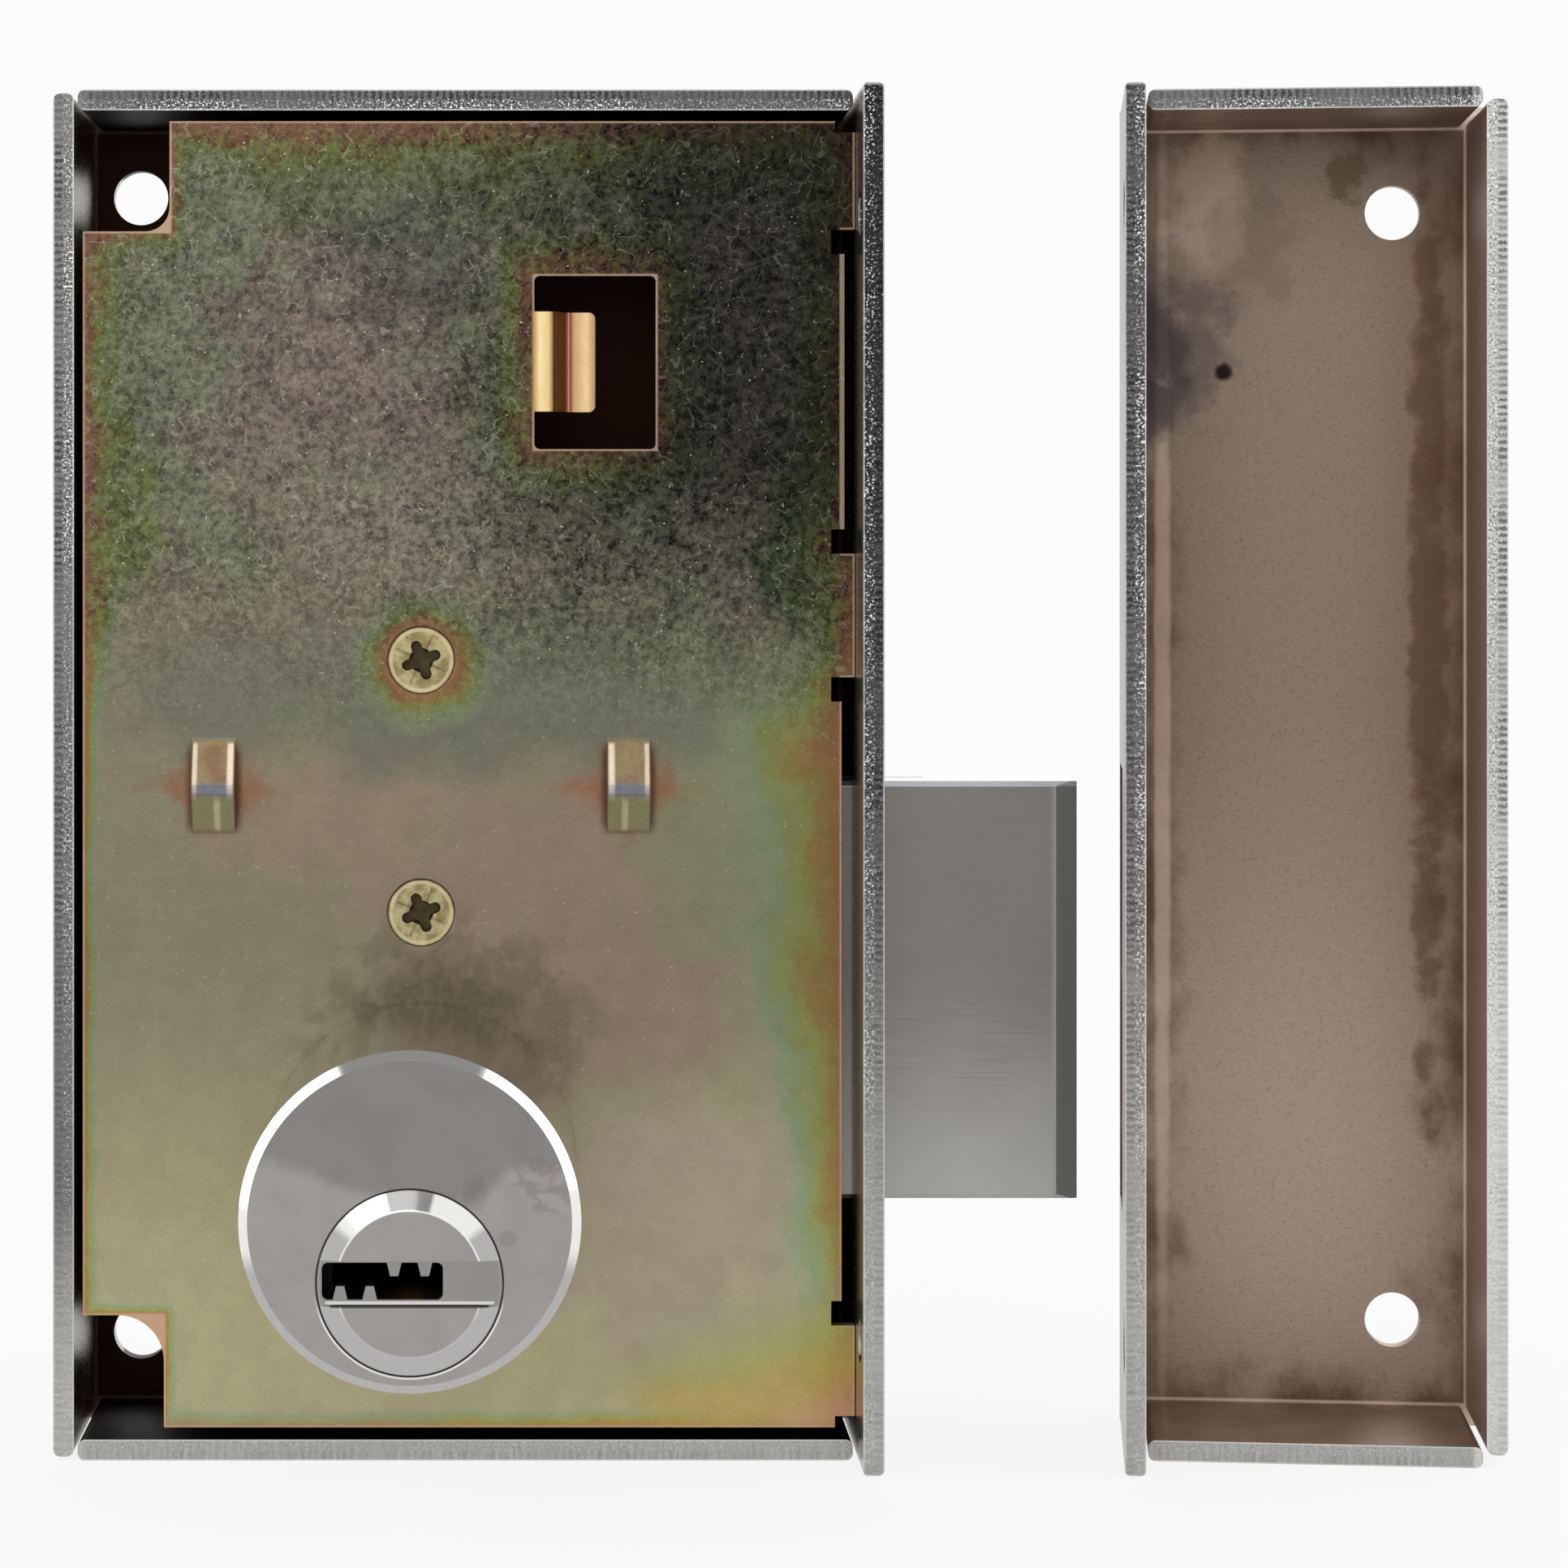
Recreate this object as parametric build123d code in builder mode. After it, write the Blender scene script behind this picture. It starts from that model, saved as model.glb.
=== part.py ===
"""Rim box lock with a thrown deadbolt, a round key cylinder and a separate keeper box.

X runs along the door from the lock's back edge towards the keeper, +Z is up, and -Y points at the door.
The origin is on the cylinder barrel's axis, in the plane of the case rims, which lie against the door.
"""

from build123d import *
from math import atan, cos, pi, radians, sin, sqrt, tan
import os

os.makedirs("parts", exist_ok=True)

# Clearances, and the overrun of every cut
fit = 0.05
loose_fit = 0.25
overrun = 4.0

# Folded sheet case
sheet = 2.2
case_width = 87.2
case_height = 145.0
case_depth = 26.0
backset = 48.3
axis_above_bottom = 31.8
lip_reach = 9.5
lip_corner = 1.6
rim_corner = 0.8
corner_gap = 0.4
case_flap_drop = 0.4
bend_radius = 2.0
case_hole_radius = 3.0
case_hole_inset = 7.3
case_hole_end_inset = 9.6
lip_hole_radius = 2.3
lip_sink_radius = 3.6
lip_hole_end_inset = 13.5

# Mechanism plate, just behind the rims
plate_inset = 1.6
plate_thickness = 1.8
plate_side_gap = 0.8
plate_end_gap = 1.0
plate_lip_gap = 0.1
plate_screw_spacing = 26.8
plate_screws_above_axis = 39.4

# Deadbolt
bolt_height = 44.8
bolt_below_axis = 5.1
bolt_thickness = 12.0
bolt_near = 7.0
bolt_throw = 22.0
bolt_length = 39.3
bolt_bevel = 2.3
bolt_bevel_depth = 0.7
bolt_edge = 0.5
key_turns = 1.0

# Round key cylinder
barrel_radius = 16.45
barrel_reach = 46.0
barrel_tail = 4.3
barrel_bevel = 0.9
spigot_step = 0.2
plug_drop = 5.7
plug_radius = 7.5
collar_radius = 8.9
collar_length = 3.0
stack_count = 5
stack_pitch = 6.5
first_stack = 9.0

# Keeper box, standing apart and turned as in the photograph
keeper_width = 40.0
keeper_gap = 26.0
keeper_turn = 6.5
keeper_flap_drop = 1.4
keeper_hole_inset = 10.2
keeper_hole_end_inset = 11.5

# Places worked out from the sizes above
case_right = backset
case_left = backset - case_width
case_bottom = -axis_above_bottom
case_top = case_bottom + case_height
floor_depth = case_depth - sheet
floor_cut = (floor_depth - sheet, case_depth + overrun)
plate_back = plate_inset + plate_thickness
barrel_shoulder = plate_inset - fit
spigot_radius = barrel_radius - spigot_step
lip_inner = case_right - sheet
bolt_bottom = -bolt_below_axis
bolt_top = bolt_bottom + bolt_height
bolt_far = bolt_near + bolt_thickness
bolt_mid = (bolt_near + bolt_far) / 2
bolt_tip = case_right + bolt_throw
bolt_heel = bolt_tip - bolt_length
pitch_radius = bolt_throw / (2 * pi * key_turns)
plug_z = -plug_drop
turn_cosine = cos(radians(keeper_turn))
turn_sine = sin(radians(keeper_turn))
lock_frame = Plane.XZ
keeper_frame = Plane(
    origin=(case_right + keeper_gap, 0, 0),
    x_dir=(turn_cosine, -turn_sine, 0),
    z_dir=(-turn_sine, -turn_cosine, 0),
)


def at_depth(depth, frame=lock_frame):
    """The plane this deep behind the rims, facing the door."""
    return frame.offset(-depth)


def slab(x0, x1, z0, z1, near, far, frame=lock_frame, mode=Mode.ADD):
    """A block between two widths, two heights and two depths."""
    with BuildSketch(at_depth(far, frame)) as outline:
        with Locations(((x0 + x1) / 2, (z0 + z1) / 2)):
            Rectangle(x1 - x0, z1 - z0)
    extrude(outline.sketch, amount=far - near, mode=mode)


def rod(x, z, radius, near, far, frame=lock_frame, mode=Mode.ADD):
    """A round bar, or a round hole, along the depth."""
    with BuildSketch(at_depth(far, frame)) as outline:
        with Locations((x, z)):
            Circle(radius)
    extrude(outline.sketch, amount=far - near, mode=mode)


def cone(x, z, near_radius, far_radius, near, far, frame=lock_frame, mode=Mode.ADD):
    """A round bar or hole that tapers along the depth."""
    with BuildSketch(at_depth(near, frame)) as mouth:
        with Locations((x, z)):
            Circle(near_radius)
    with BuildSketch(at_depth(far, frame)) as end:
        with Locations((x, z)):
            Circle(far_radius)
    loft([end.sketch.face(), mouth.sketch.face()], mode=mode)


def plate_outline(points, near, far, mode=Mode.ADD):
    """A flat piece with straight edges, from its corners as widths and heights."""
    with BuildSketch(at_depth(far)) as outline:
        with BuildLine():
            Polyline(*points, close=True)
        make_face()
    extrude(outline.sketch, amount=far - near, mode=mode)


def strip_profile(points, z0, z1, mode=Mode.ADD):
    """A piece of one section in width and depth, between two heights."""
    with BuildSketch(Plane.XY.offset(z0)) as outline:
        with BuildLine():
            Polyline(*points, close=True)
        make_face()
    extrude(outline.sketch, amount=z1 - z0, mode=mode)


def bar_up(x, depth, radius, z0, z1, mode=Mode.ADD):
    """An upright round bar or hole."""
    with BuildSketch(Plane.XY.offset(z0)) as outline:
        with Locations((x, depth)):
            Circle(radius)
    extrude(outline.sketch, amount=z1 - z0, mode=mode)


def save(piece, name):
    """Labels a finished piece and writes it under its own name."""
    piece.part.label = name
    export_step(piece.part, f"parts/{name}.step")


def wall(x0, x1, z0, z1, near, frame, mode=Mode.ADD):
    """A wall standing on the floor, with the corners of its rim rounded."""
    with BuildSketch(at_depth(floor_depth, frame)) as outline:
        with Locations(((x0 + x1) / 2, (z0 + z1) / 2)):
            RectangleRounded(x1 - x0, z1 - z0, rim_corner)
    extrude(outline.sketch, amount=floor_depth - near, mode=mode)


def folded_box(frame, left, right, lip_on_left, flap_drop):
    """One sheet folded into a floor, four walls with open corners, and a long wall with a lip."""
    sides = [(left, left + sheet), (right - sheet, right)]
    lip_side, free_side = sides if lip_on_left else reversed(sides)
    lip_foot = floor_depth + lip_corner
    lip_origin = frame.from_local_coords(Vector(lip_side[0], 0, 0))
    lip_plane = Plane(origin=lip_origin, x_dir=-frame.z_dir, z_dir=frame.x_dir)
    towards_door = Axis(frame.origin, frame.z_dir)
    with BuildPart() as body:
        with BuildSketch(lip_plane) as lip_profile:
            with Locations(((lip_foot - lip_reach) / 2, (case_bottom + case_top) / 2)):
                RectangleRounded(lip_foot + lip_reach, case_height, lip_corner)
        extrude(lip_profile.sketch, amount=sheet)
        wall(*lip_side, case_bottom, case_top, -lip_reach, frame, Mode.INTERSECT)
        wall(*free_side, case_bottom + flap_drop, case_top - flap_drop, 0, frame)
        flap = (left + sheet + corner_gap, right - sheet - corner_gap)
        wall(*flap, case_bottom, case_bottom + sheet, 0, frame)
        wall(*flap, case_top - sheet, case_top, 0, frame)
        slab(left, right, case_bottom, case_top, floor_depth, case_depth, frame)
        back = body.faces().sort_by(towards_door)[0]
        fillet(back.outer_wire().edges(), bend_radius)
    return body


# Case: floor on the room side, walls towards the door, bolt window in the long wall
case_blank = folded_box(lock_frame, case_left, case_right, False, case_flap_drop)
window_slack = loose_fit
bush_body_radius = 5.6
cylinder_screw_radius = 1.85
cylinder_screw_hole = 2.1
cylinder_screw_spread = 9.0
cylinder_screw_drop = 4.8
cylinder_screw_z = plug_z - cylinder_screw_drop
cylinder_screw_xs = (-cylinder_screw_spread, cylinder_screw_spread)
case_hole_x = case_left + case_hole_inset
case_hole_zs = (case_bottom + case_hole_end_inset, case_top - case_hole_end_inset)
lip_hole_zs = (case_bottom + lip_hole_end_inset, case_top - lip_hole_end_inset)
lip_hole_depth = -lip_reach / 2
with BuildPart() as case_shell:
    add(case_blank.part)
    slab(
        lip_inner - overrun,
        case_right + overrun,
        bolt_bottom - window_slack,
        bolt_top + window_slack,
        bolt_near - window_slack,
        bolt_far + window_slack,
        mode=Mode.SUBTRACT,
    )
    for height in case_hole_zs:
        rod(case_hole_x, height, case_hole_radius, *floor_cut, mode=Mode.SUBTRACT)
    rod(0, plug_z, bush_body_radius + fit, *floor_cut, mode=Mode.SUBTRACT)
    for x in cylinder_screw_xs:
        rod(x, cylinder_screw_z, cylinder_screw_hole, *floor_cut, mode=Mode.SUBTRACT)
    with Locations(*[Plane(origin=(case_right, lip_hole_depth, z), z_dir=(1, 0, 0)) for z in lip_hole_zs]):
        CounterSinkHole(lip_hole_radius, lip_sink_radius, depth=sheet + overrun)
save(case_shell, "case_shell")

# Keeper box: the same folding, with its lip and bolt window on the lock's side
keeper_blank = folded_box(keeper_frame, 0, keeper_width, True, keeper_flap_drop)
keeper_window_slack = 1.4
keeper_hole_zs = (case_bottom + keeper_hole_end_inset, case_top - keeper_hole_end_inset)
keeper_hole_x = keeper_width - keeper_hole_inset
lip_hole_places = [keeper_frame.from_local_coords(Vector(0, z, -lip_hole_depth)) for z in lip_hole_zs]
with BuildPart() as keeper_box:
    add(keeper_blank.part)
    slab(
        -overrun,
        sheet + overrun,
        bolt_bottom - keeper_window_slack,
        bolt_top + keeper_window_slack,
        bolt_near - keeper_window_slack,
        bolt_far + keeper_window_slack,
        keeper_frame,
        Mode.SUBTRACT,
    )
    for height in keeper_hole_zs:
        rod(keeper_hole_x, height, case_hole_radius, *floor_cut, keeper_frame, Mode.SUBTRACT)
    with Locations(*[Plane(origin=place, z_dir=-keeper_frame.x_dir) for place in lip_hole_places]):
        CounterSinkHole(lip_hole_radius, lip_sink_radius, depth=sheet + overrun)
save(keeper_box, "keeper_box")

# Mechanism plate: corner notches, tabs at the lip, a window with a joggled tongue, two lanced bridges
plate_left = case_left + sheet + plate_side_gap
plate_right = lip_inner - plate_lip_gap
plate_top = case_top - sheet - plate_end_gap
plate_bottom = case_bottom + sheet + plate_end_gap
top_notch_width = 9.2
top_notch_height = 11.7
top_notch_radius = 2.6
bottom_notch_width = 8.6
bottom_notch_height = 11.9
bottom_notch_radius = 4.9
tab_end_step = 2.1
tab_end_step_height = 1.2
latch_recess_drop = 11.5
latch_recess_length = 34.4
bolt_recess_above = 11.3
bolt_recess_below = 12.7
latch_recess_depth = 1.1
bolt_recess_depth = 1.4
relief_depth = 2.5
relief_height = 2.6
spigot_gap = 0.1
plate_window_left = 12.0
plate_window_width = 12.9
plate_window_drop = 16.4
plate_window_height = 18.4
plate_window_corner = 0.6
tongue_above_sill = 4.0
tongue_height = 10.6
tongue_flat = 2.0
tongue_slope = 1.6
tongue_end = 2.9
tongue_drop = 2.2
tongue_corner = 0.7
bridge_offset = 22.0
bridge_width = 4.7
bridge_below_screws = 5.0
bridge_height = 10.2
bridge_rise = 2.1
bridge_ridge = 0.9
bridge_ridge_share = 0.47
screw_head_radius = 3.65
screw_radius = 1.95
post_radius = 4.0
plate_screw_zs = (
    plate_screws_above_axis - plate_screw_spacing / 2,
    plate_screws_above_axis + plate_screw_spacing / 2,
)
plate_window_right = plate_window_left + plate_window_width
plate_window_top = plate_top - plate_window_drop
plate_window_bottom = plate_window_top - plate_window_height
plate_window_middle = (
    (plate_window_left + plate_window_right) / 2,
    (plate_window_bottom + plate_window_top) / 2,
)
tongue_bottom = plate_window_bottom + tongue_above_sill
tongue_top = tongue_bottom + tongue_height
head_foot = plate_inset + screw_head_radius - screw_radius
bridge_bottom = plate_screws_above_axis - bridge_below_screws
latch_recess_top = plate_top - latch_recess_drop
latch_recess_bottom = latch_recess_top - latch_recess_length


def cut_plate(x0, x1, z0, z1):
    """A square cut right through the plate."""
    slab(x0, x1, z0, z1, 0, floor_depth, mode=Mode.SUBTRACT)


def recess(z0, z1, depth):
    """A long cut in the plate's lip edge with a square relief at each end."""
    cut_plate(plate_right - depth, plate_right + overrun, z0, z1)
    for low in (z0, z1 - relief_height):
        cut_plate(plate_right - relief_depth, plate_right + overrun, low, low + relief_height)


def round_corner(piece, x, z, radius):
    """Rounds the edge along the depth that is nearest to a place on the piece."""
    edges = piece.edges().filter_by(Axis.Y)
    fillet(edges.sort_by_distance((x, plate_inset, z))[0], radius)


def bridge(middle):
    """A strip lanced out of the plate and raised into a low roof towards the door."""
    left, right = middle - bridge_width / 2, middle + bridge_width / 2
    top = bridge_bottom + bridge_height
    cut_plate(left, right, bridge_bottom, top)
    ridge = bridge_bottom + bridge_height * bridge_ridge_share
    outer = [
        (plate_inset, bridge_bottom),
        (plate_inset - bridge_rise, ridge - bridge_ridge / 2),
        (plate_inset - bridge_rise, ridge + bridge_ridge / 2),
        (plate_inset, top),
    ]
    inner = [
        (plate_back, top),
        (plate_back - fit, top - bridge_ridge),
        (plate_back - bridge_rise, ridge + bridge_ridge / 2),
        (plate_back - bridge_rise, ridge - bridge_ridge / 2),
        (plate_back - fit, bridge_bottom + bridge_ridge),
        (plate_back, bridge_bottom),
    ]
    with BuildSketch(Plane.YZ.offset(left)) as outline:
        with BuildLine():
            Polyline(*outer, *inner, close=True)
        make_face()
    extrude(outline.sketch, amount=right - left)


with BuildPart() as mechanism_plate:
    slab(plate_left, plate_right, plate_bottom, plate_top, plate_inset, plate_back)
    top_notch_x = plate_left + top_notch_width
    top_notch_z = plate_top - top_notch_height
    cut_plate(plate_left - overrun, top_notch_x, top_notch_z, plate_top + overrun)
    round_corner(mechanism_plate, top_notch_x, top_notch_z, top_notch_radius)
    bottom_notch_x = plate_left + bottom_notch_width
    bottom_notch_z = plate_bottom + bottom_notch_height
    cut_plate(plate_left - overrun, bottom_notch_x, plate_bottom - overrun, bottom_notch_z)
    round_corner(mechanism_plate, bottom_notch_x, bottom_notch_z, bottom_notch_radius)
    for low, high in (
        (plate_top - tab_end_step_height, plate_top + overrun),
        (plate_bottom - overrun, plate_bottom + tab_end_step_height),
    ):
        cut_plate(plate_right - tab_end_step, plate_right + overrun, low, high)
    recess(latch_recess_bottom, latch_recess_top, latch_recess_depth)
    recess(bolt_bottom - bolt_recess_below, bolt_top + bolt_recess_above, bolt_recess_depth)
    rod(0, 0, spigot_radius + spigot_gap, 0, floor_depth, mode=Mode.SUBTRACT)
    with BuildSketch(at_depth(floor_depth)) as window:
        with Locations(plate_window_middle):
            RectangleRounded(plate_window_width, plate_window_height, plate_window_corner)
    extrude(window.sketch, amount=floor_depth, mode=Mode.SUBTRACT)
    bend = plate_window_left + tongue_flat
    step = bend + tongue_slope
    tip = step + tongue_end
    strip_profile(
        [
            (plate_window_left - tongue_flat, plate_inset),
            (bend, plate_inset),
            (step, plate_inset + tongue_drop),
            (tip, plate_inset + tongue_drop),
            (tip, plate_back + tongue_drop),
            (step - tongue_slope / 2, plate_back + tongue_drop),
            (bend - tongue_slope / 2, plate_back),
            (plate_window_left - tongue_flat, plate_back),
        ],
        tongue_bottom,
        tongue_top,
    )
    for height in (tongue_bottom, tongue_top):
        round_corner(mechanism_plate, tip, height, tongue_corner)
    for middle in (-bridge_offset, bridge_offset):
        bridge(middle)
    for height in plate_screw_zs:
        rod(0, height, screw_radius + fit, 0, floor_depth, mode=Mode.SUBTRACT)
        cone(
            0,
            height,
            screw_head_radius + fit,
            screw_radius + fit,
            plate_inset,
            head_foot,
            mode=Mode.SUBTRACT,
        )
save(mechanism_plate, "mechanism_plate")

# Posts that carry the plate: the lower one also guides the bolt's slot
screw_length = 11.0
with BuildPart() as plate_posts:
    for height in plate_screw_zs:
        rod(0, height, post_radius, plate_back, floor_depth)
        rod(0, height, screw_radius + fit, plate_back, plate_inset + screw_length + fit, mode=Mode.SUBTRACT)
save(plate_posts, "plate_posts")

# Countersunk screws of the plate, with a cross recess and its four tick marks
recess_span = 4.3
recess_lobe = 1.15
recess_depth = 1.6
recess_core = 1.0
recess_core_mouth = 1.3
recess_turn = 20.0
recess_lobe_spacing = 90.0
tick_span = 5.6
tick_width = 0.28
tick_depth = 0.15
head_sink = 0.1
screw_face = plate_inset + head_sink
recess_floor = screw_face + recess_depth
with BuildPart() as plate_screws:
    for height in plate_screw_zs:
        cone(0, height, screw_head_radius - head_sink, screw_radius, screw_face, head_foot)
        rod(0, height, screw_radius, head_foot, plate_inset + screw_length)
        for span, width, depth, turn in (
            (recess_span, recess_lobe, recess_depth, recess_turn),
            (tick_span, tick_width, tick_depth, recess_turn + recess_lobe_spacing / 2),
        ):
            with BuildSketch(at_depth(screw_face + depth)) as cross:
                with Locations((0, height)):
                    SlotOverall(span, width, rotation=turn)
                    SlotOverall(span, width, rotation=turn + recess_lobe_spacing)
            extrude(cross.sketch, amount=depth + overrun, mode=Mode.SUBTRACT)
        cone(0, height, recess_core_mouth, recess_core, screw_face, recess_floor, mode=Mode.SUBTRACT)
save(plate_screws, "plate_screws")

# Deadbolt head: a solid steel block with a milled slot in its heel for the tail
tail_thickness = 4.0
tail_near = bolt_mid - tail_thickness / 2
tail_far = bolt_mid + tail_thickness / 2
tenon_length = 10.0
tenon_margin = 7.0
rivet_radius = 2.0
rivet_margin = 6.5
rivet_x = bolt_heel + tenon_length / 2
rivet_zs = (bolt_bottom + tenon_margin + rivet_margin, bolt_top - tenon_margin - rivet_margin)
groove_out = 6.2
groove_width = 0.9
groove_depth = 0.6
groove_from_far = 2.2
with BuildPart() as deadbolt_head:
    slab(bolt_heel, bolt_tip, bolt_bottom, bolt_top, bolt_near, bolt_far)
    chamfer(deadbolt_head.edges().filter_by(Axis.X), bolt_edge)
    nose = deadbolt_head.edges().filter_by(Axis.Z).group_by(Axis.X)[-1].sort_by(Axis.Y)[0]
    chamfer(nose, bolt_bevel, bolt_bevel_depth, reference=deadbolt_head.faces().sort_by(Axis.Y)[0])
    slab(
        bolt_heel - overrun,
        bolt_heel + tenon_length,
        bolt_bottom + tenon_margin,
        bolt_top - tenon_margin,
        tail_near - fit,
        tail_far + fit,
        mode=Mode.SUBTRACT,
    )
    for height in rivet_zs:
        rod(rivet_x, height, rivet_radius, bolt_near, bolt_far, mode=Mode.SUBTRACT)
    slab(
        bolt_heel - overrun,
        case_right + groove_out,
        bolt_top - groove_depth,
        bolt_top + overrun,
        bolt_far - groove_from_far - groove_width,
        bolt_far - groove_from_far,
        mode=Mode.SUBTRACT,
    )
save(deadbolt_head, "deadbolt_head")

# Bolt tail: flat steel with a guide slot, a rack along its foot and two detent notches on top
tooth_count = 7
spare_teeth = 2
pressure_angle = 30.0
tooth_half_share = 0.7
rack_addendum_share = 0.8
pinion_addendum_share = 0.75
tooth_module = 2 * pitch_radius / tooth_count
tooth_pitch = pi * tooth_module
tooth_half = tooth_half_share * tooth_module
tooth_slope = tan(radians(pressure_angle))
rack_line = plug_z + pitch_radius
rack_tip = rack_line - rack_addendum_share * tooth_module
rack_root = rack_line + pinion_addendum_share * tooth_module + loose_fit
rack_tip_half = tooth_half - (rack_line - rack_tip) * tooth_slope
rack_root_half = tooth_half + (rack_root - rack_line) * tooth_slope
tail_above_slot = 6.0
tail_left_reach = 13.4
detent_x = -10.0
detent_notch_radius = 2.3
detent_notch_depth = 1.2
slot_half = post_radius + fit
slot_z = plate_screw_zs[0]
tail_top = slot_z + post_radius + tail_above_slot
tail_left = -tail_left_reach
detent_notch_z = tail_top + detent_notch_radius - detent_notch_depth
tenon_end = bolt_heel + tenon_length - fit
rack_numbers = range(-spare_teeth, tooth_count + spare_teeth)
rack_middles = [(number + 1 / 2) * tooth_pitch for number in rack_numbers]


def rack_points():
    """Corners of a rack whose teeth point down, with a tooth gap centred over the pinion."""
    points = []
    for middle in rack_middles:
        if middle + tooth_pitch / 2 < bolt_heel - fit:
            points += [
                (middle - rack_root_half, rack_root),
                (middle - rack_tip_half, rack_tip),
                (middle + rack_tip_half, rack_tip),
                (middle + rack_root_half, rack_root),
            ]
    return points


with BuildPart() as bolt_tail:
    plate_outline(
        [
            (tail_left, rack_root),
            *rack_points(),
            (bolt_heel - fit, rack_root),
            (bolt_heel - fit, bolt_bottom + tenon_margin + fit),
            (tenon_end, bolt_bottom + tenon_margin + fit),
            (tenon_end, bolt_top - tenon_margin - fit),
            (bolt_heel - fit, bolt_top - tenon_margin - fit),
            (bolt_heel - fit, tail_top),
            (tail_left, tail_top),
        ],
        tail_near,
        tail_far,
    )
    with BuildSketch(at_depth(tail_far)) as slot:
        with Locations((bolt_throw / 2, slot_z)):
            SlotOverall(bolt_throw + 2 * slot_half, 2 * slot_half)
    extrude(slot.sketch, amount=tail_thickness, mode=Mode.SUBTRACT)
    for x in (detent_x, detent_x + bolt_throw):
        rod(x, detent_notch_z, detent_notch_radius, tail_near, tail_far, mode=Mode.SUBTRACT)
    for height in rivet_zs:
        rod(rivet_x, height, rivet_radius, tail_near, tail_far, mode=Mode.SUBTRACT)
save(bolt_tail, "bolt_tail")

with BuildPart() as bolt_rivets:
    for height in rivet_zs:
        rod(rivet_x, height, rivet_radius, bolt_near, bolt_far)
save(bolt_rivets, "bolt_rivets")

# Drive pinion: a hub with a dog slot for the cylinder's tailpiece, teeth, a journal and a square shaft
hub_radius = 5.0
hub_near = 6.6
dog_thickness = 2.0
dog_width = 7.0
dog_reach = 9.2
dog_slot_depth = 3.0
dog_slack = 0.1
journal_radius = 4.0
square_side = 5.0
square_past_case = 18.0
teeth_side_gap = 0.2
journal_past_case = 0.1
base_radius = pitch_radius * cos(radians(pressure_angle))
pinion_tip = pitch_radius + pinion_addendum_share * tooth_module
pinion_root = pitch_radius - rack_addendum_share * tooth_module - loose_fit
flank_steps = 4
square_reach = case_depth + square_past_case
teeth_near = tail_near - teeth_side_gap
teeth_far = tail_far + teeth_side_gap
journal_end = case_depth + journal_past_case


def tooth_half_angle(radius):
    """Half the angle that a tooth spans at a radius: an involute, radial below its base circle."""
    roll = sqrt((max(radius, base_radius) / base_radius) ** 2 - 1)
    return tooth_half / pitch_radius + tooth_slope - radians(pressure_angle) - roll + atan(roll)


def pinion_points():
    """Corners of the toothed outline, with one tooth pointing straight up."""
    rise = (pinion_tip - base_radius) / flank_steps
    radii = [pinion_root] + [base_radius + rise * step for step in range(flank_steps + 1)]
    flank = [(radius, tooth_half_angle(radius)) for radius in radii]
    around = [(radius, -half) for radius, half in flank]
    around += [(radius, half) for radius, half in reversed(flank)]
    turns = [2 * pi * number / tooth_count for number in range(tooth_count)]
    return [(r * sin(turn + half), plug_z + r * cos(turn + half)) for turn in turns for r, half in around]


with BuildPart() as drive_pinion:
    rod(0, plug_z, hub_radius, hub_near, teeth_near)
    slab(
        -hub_radius - overrun,
        hub_radius + overrun,
        plug_z - dog_thickness / 2 - dog_slack,
        plug_z + dog_thickness / 2 + dog_slack,
        hub_near - overrun,
        hub_near + dog_slot_depth,
        mode=Mode.SUBTRACT,
    )
    plate_outline(pinion_points(), teeth_near, teeth_far)
    rod(0, plug_z, journal_radius, teeth_far, journal_end)
    half = square_side / 2
    slab(-half, half, plug_z - half, plug_z + half, journal_end, square_reach)
save(drive_pinion, "drive_pinion")

# Bush for the pinion's journal, pressed into the case floor
bush_flange_radius = 6.6
bush_flange = 1.5
with BuildPart() as pinion_bush:
    rod(0, plug_z, bush_flange_radius, floor_depth - bush_flange, floor_depth)
    rod(0, plug_z, bush_body_radius, floor_depth, case_depth)
    rod(0, plug_z, journal_radius + fit, floor_depth - bush_flange, case_depth, mode=Mode.SUBTRACT)
save(pinion_bush, "pinion_bush")

# Detent: a sprung plunger in a bracket on the floor, which drops into the notches on the tail
detent_radius = 2.0
detent_rest_gap = 0.1
detent_drop = 1.0
detent_collar_radius = 3.5
detent_collar = 1.5
detent_collar_above_tail = 11.0
detent_spring_length = 8.5
detent_above_ear = 1.0
detent_point = 1.0
ear_thickness = 2.0
ear_half_width = 4.5
ear_near = 9.5
bracket_base = 2.0
spring_clearance = 0.3
spring_wall = 0.9
detent_foot = tail_top + detent_rest_gap
collar_bottom = tail_top + detent_collar_above_tail
collar_top = collar_bottom + detent_collar
low_ear_top = collar_bottom - detent_drop - detent_rest_gap
low_ear = low_ear_top - ear_thickness
high_ear = collar_top + detent_spring_length
high_ear_top = high_ear + ear_thickness
ear_left = detent_x - ear_half_width
ear_right = detent_x + ear_half_width
with BuildPart() as detent_bracket:
    slab(ear_left, ear_right, low_ear, high_ear_top, floor_depth - bracket_base, floor_depth)
    slab(ear_left, ear_right, low_ear, low_ear_top, ear_near, floor_depth)
    slab(ear_left, ear_right, high_ear, high_ear_top, ear_near, floor_depth)
    ear_cut = (low_ear - overrun, high_ear_top + overrun)
    bar_up(detent_x, bolt_mid, detent_radius + fit, *ear_cut, Mode.SUBTRACT)
save(detent_bracket, "detent_bracket")

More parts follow.
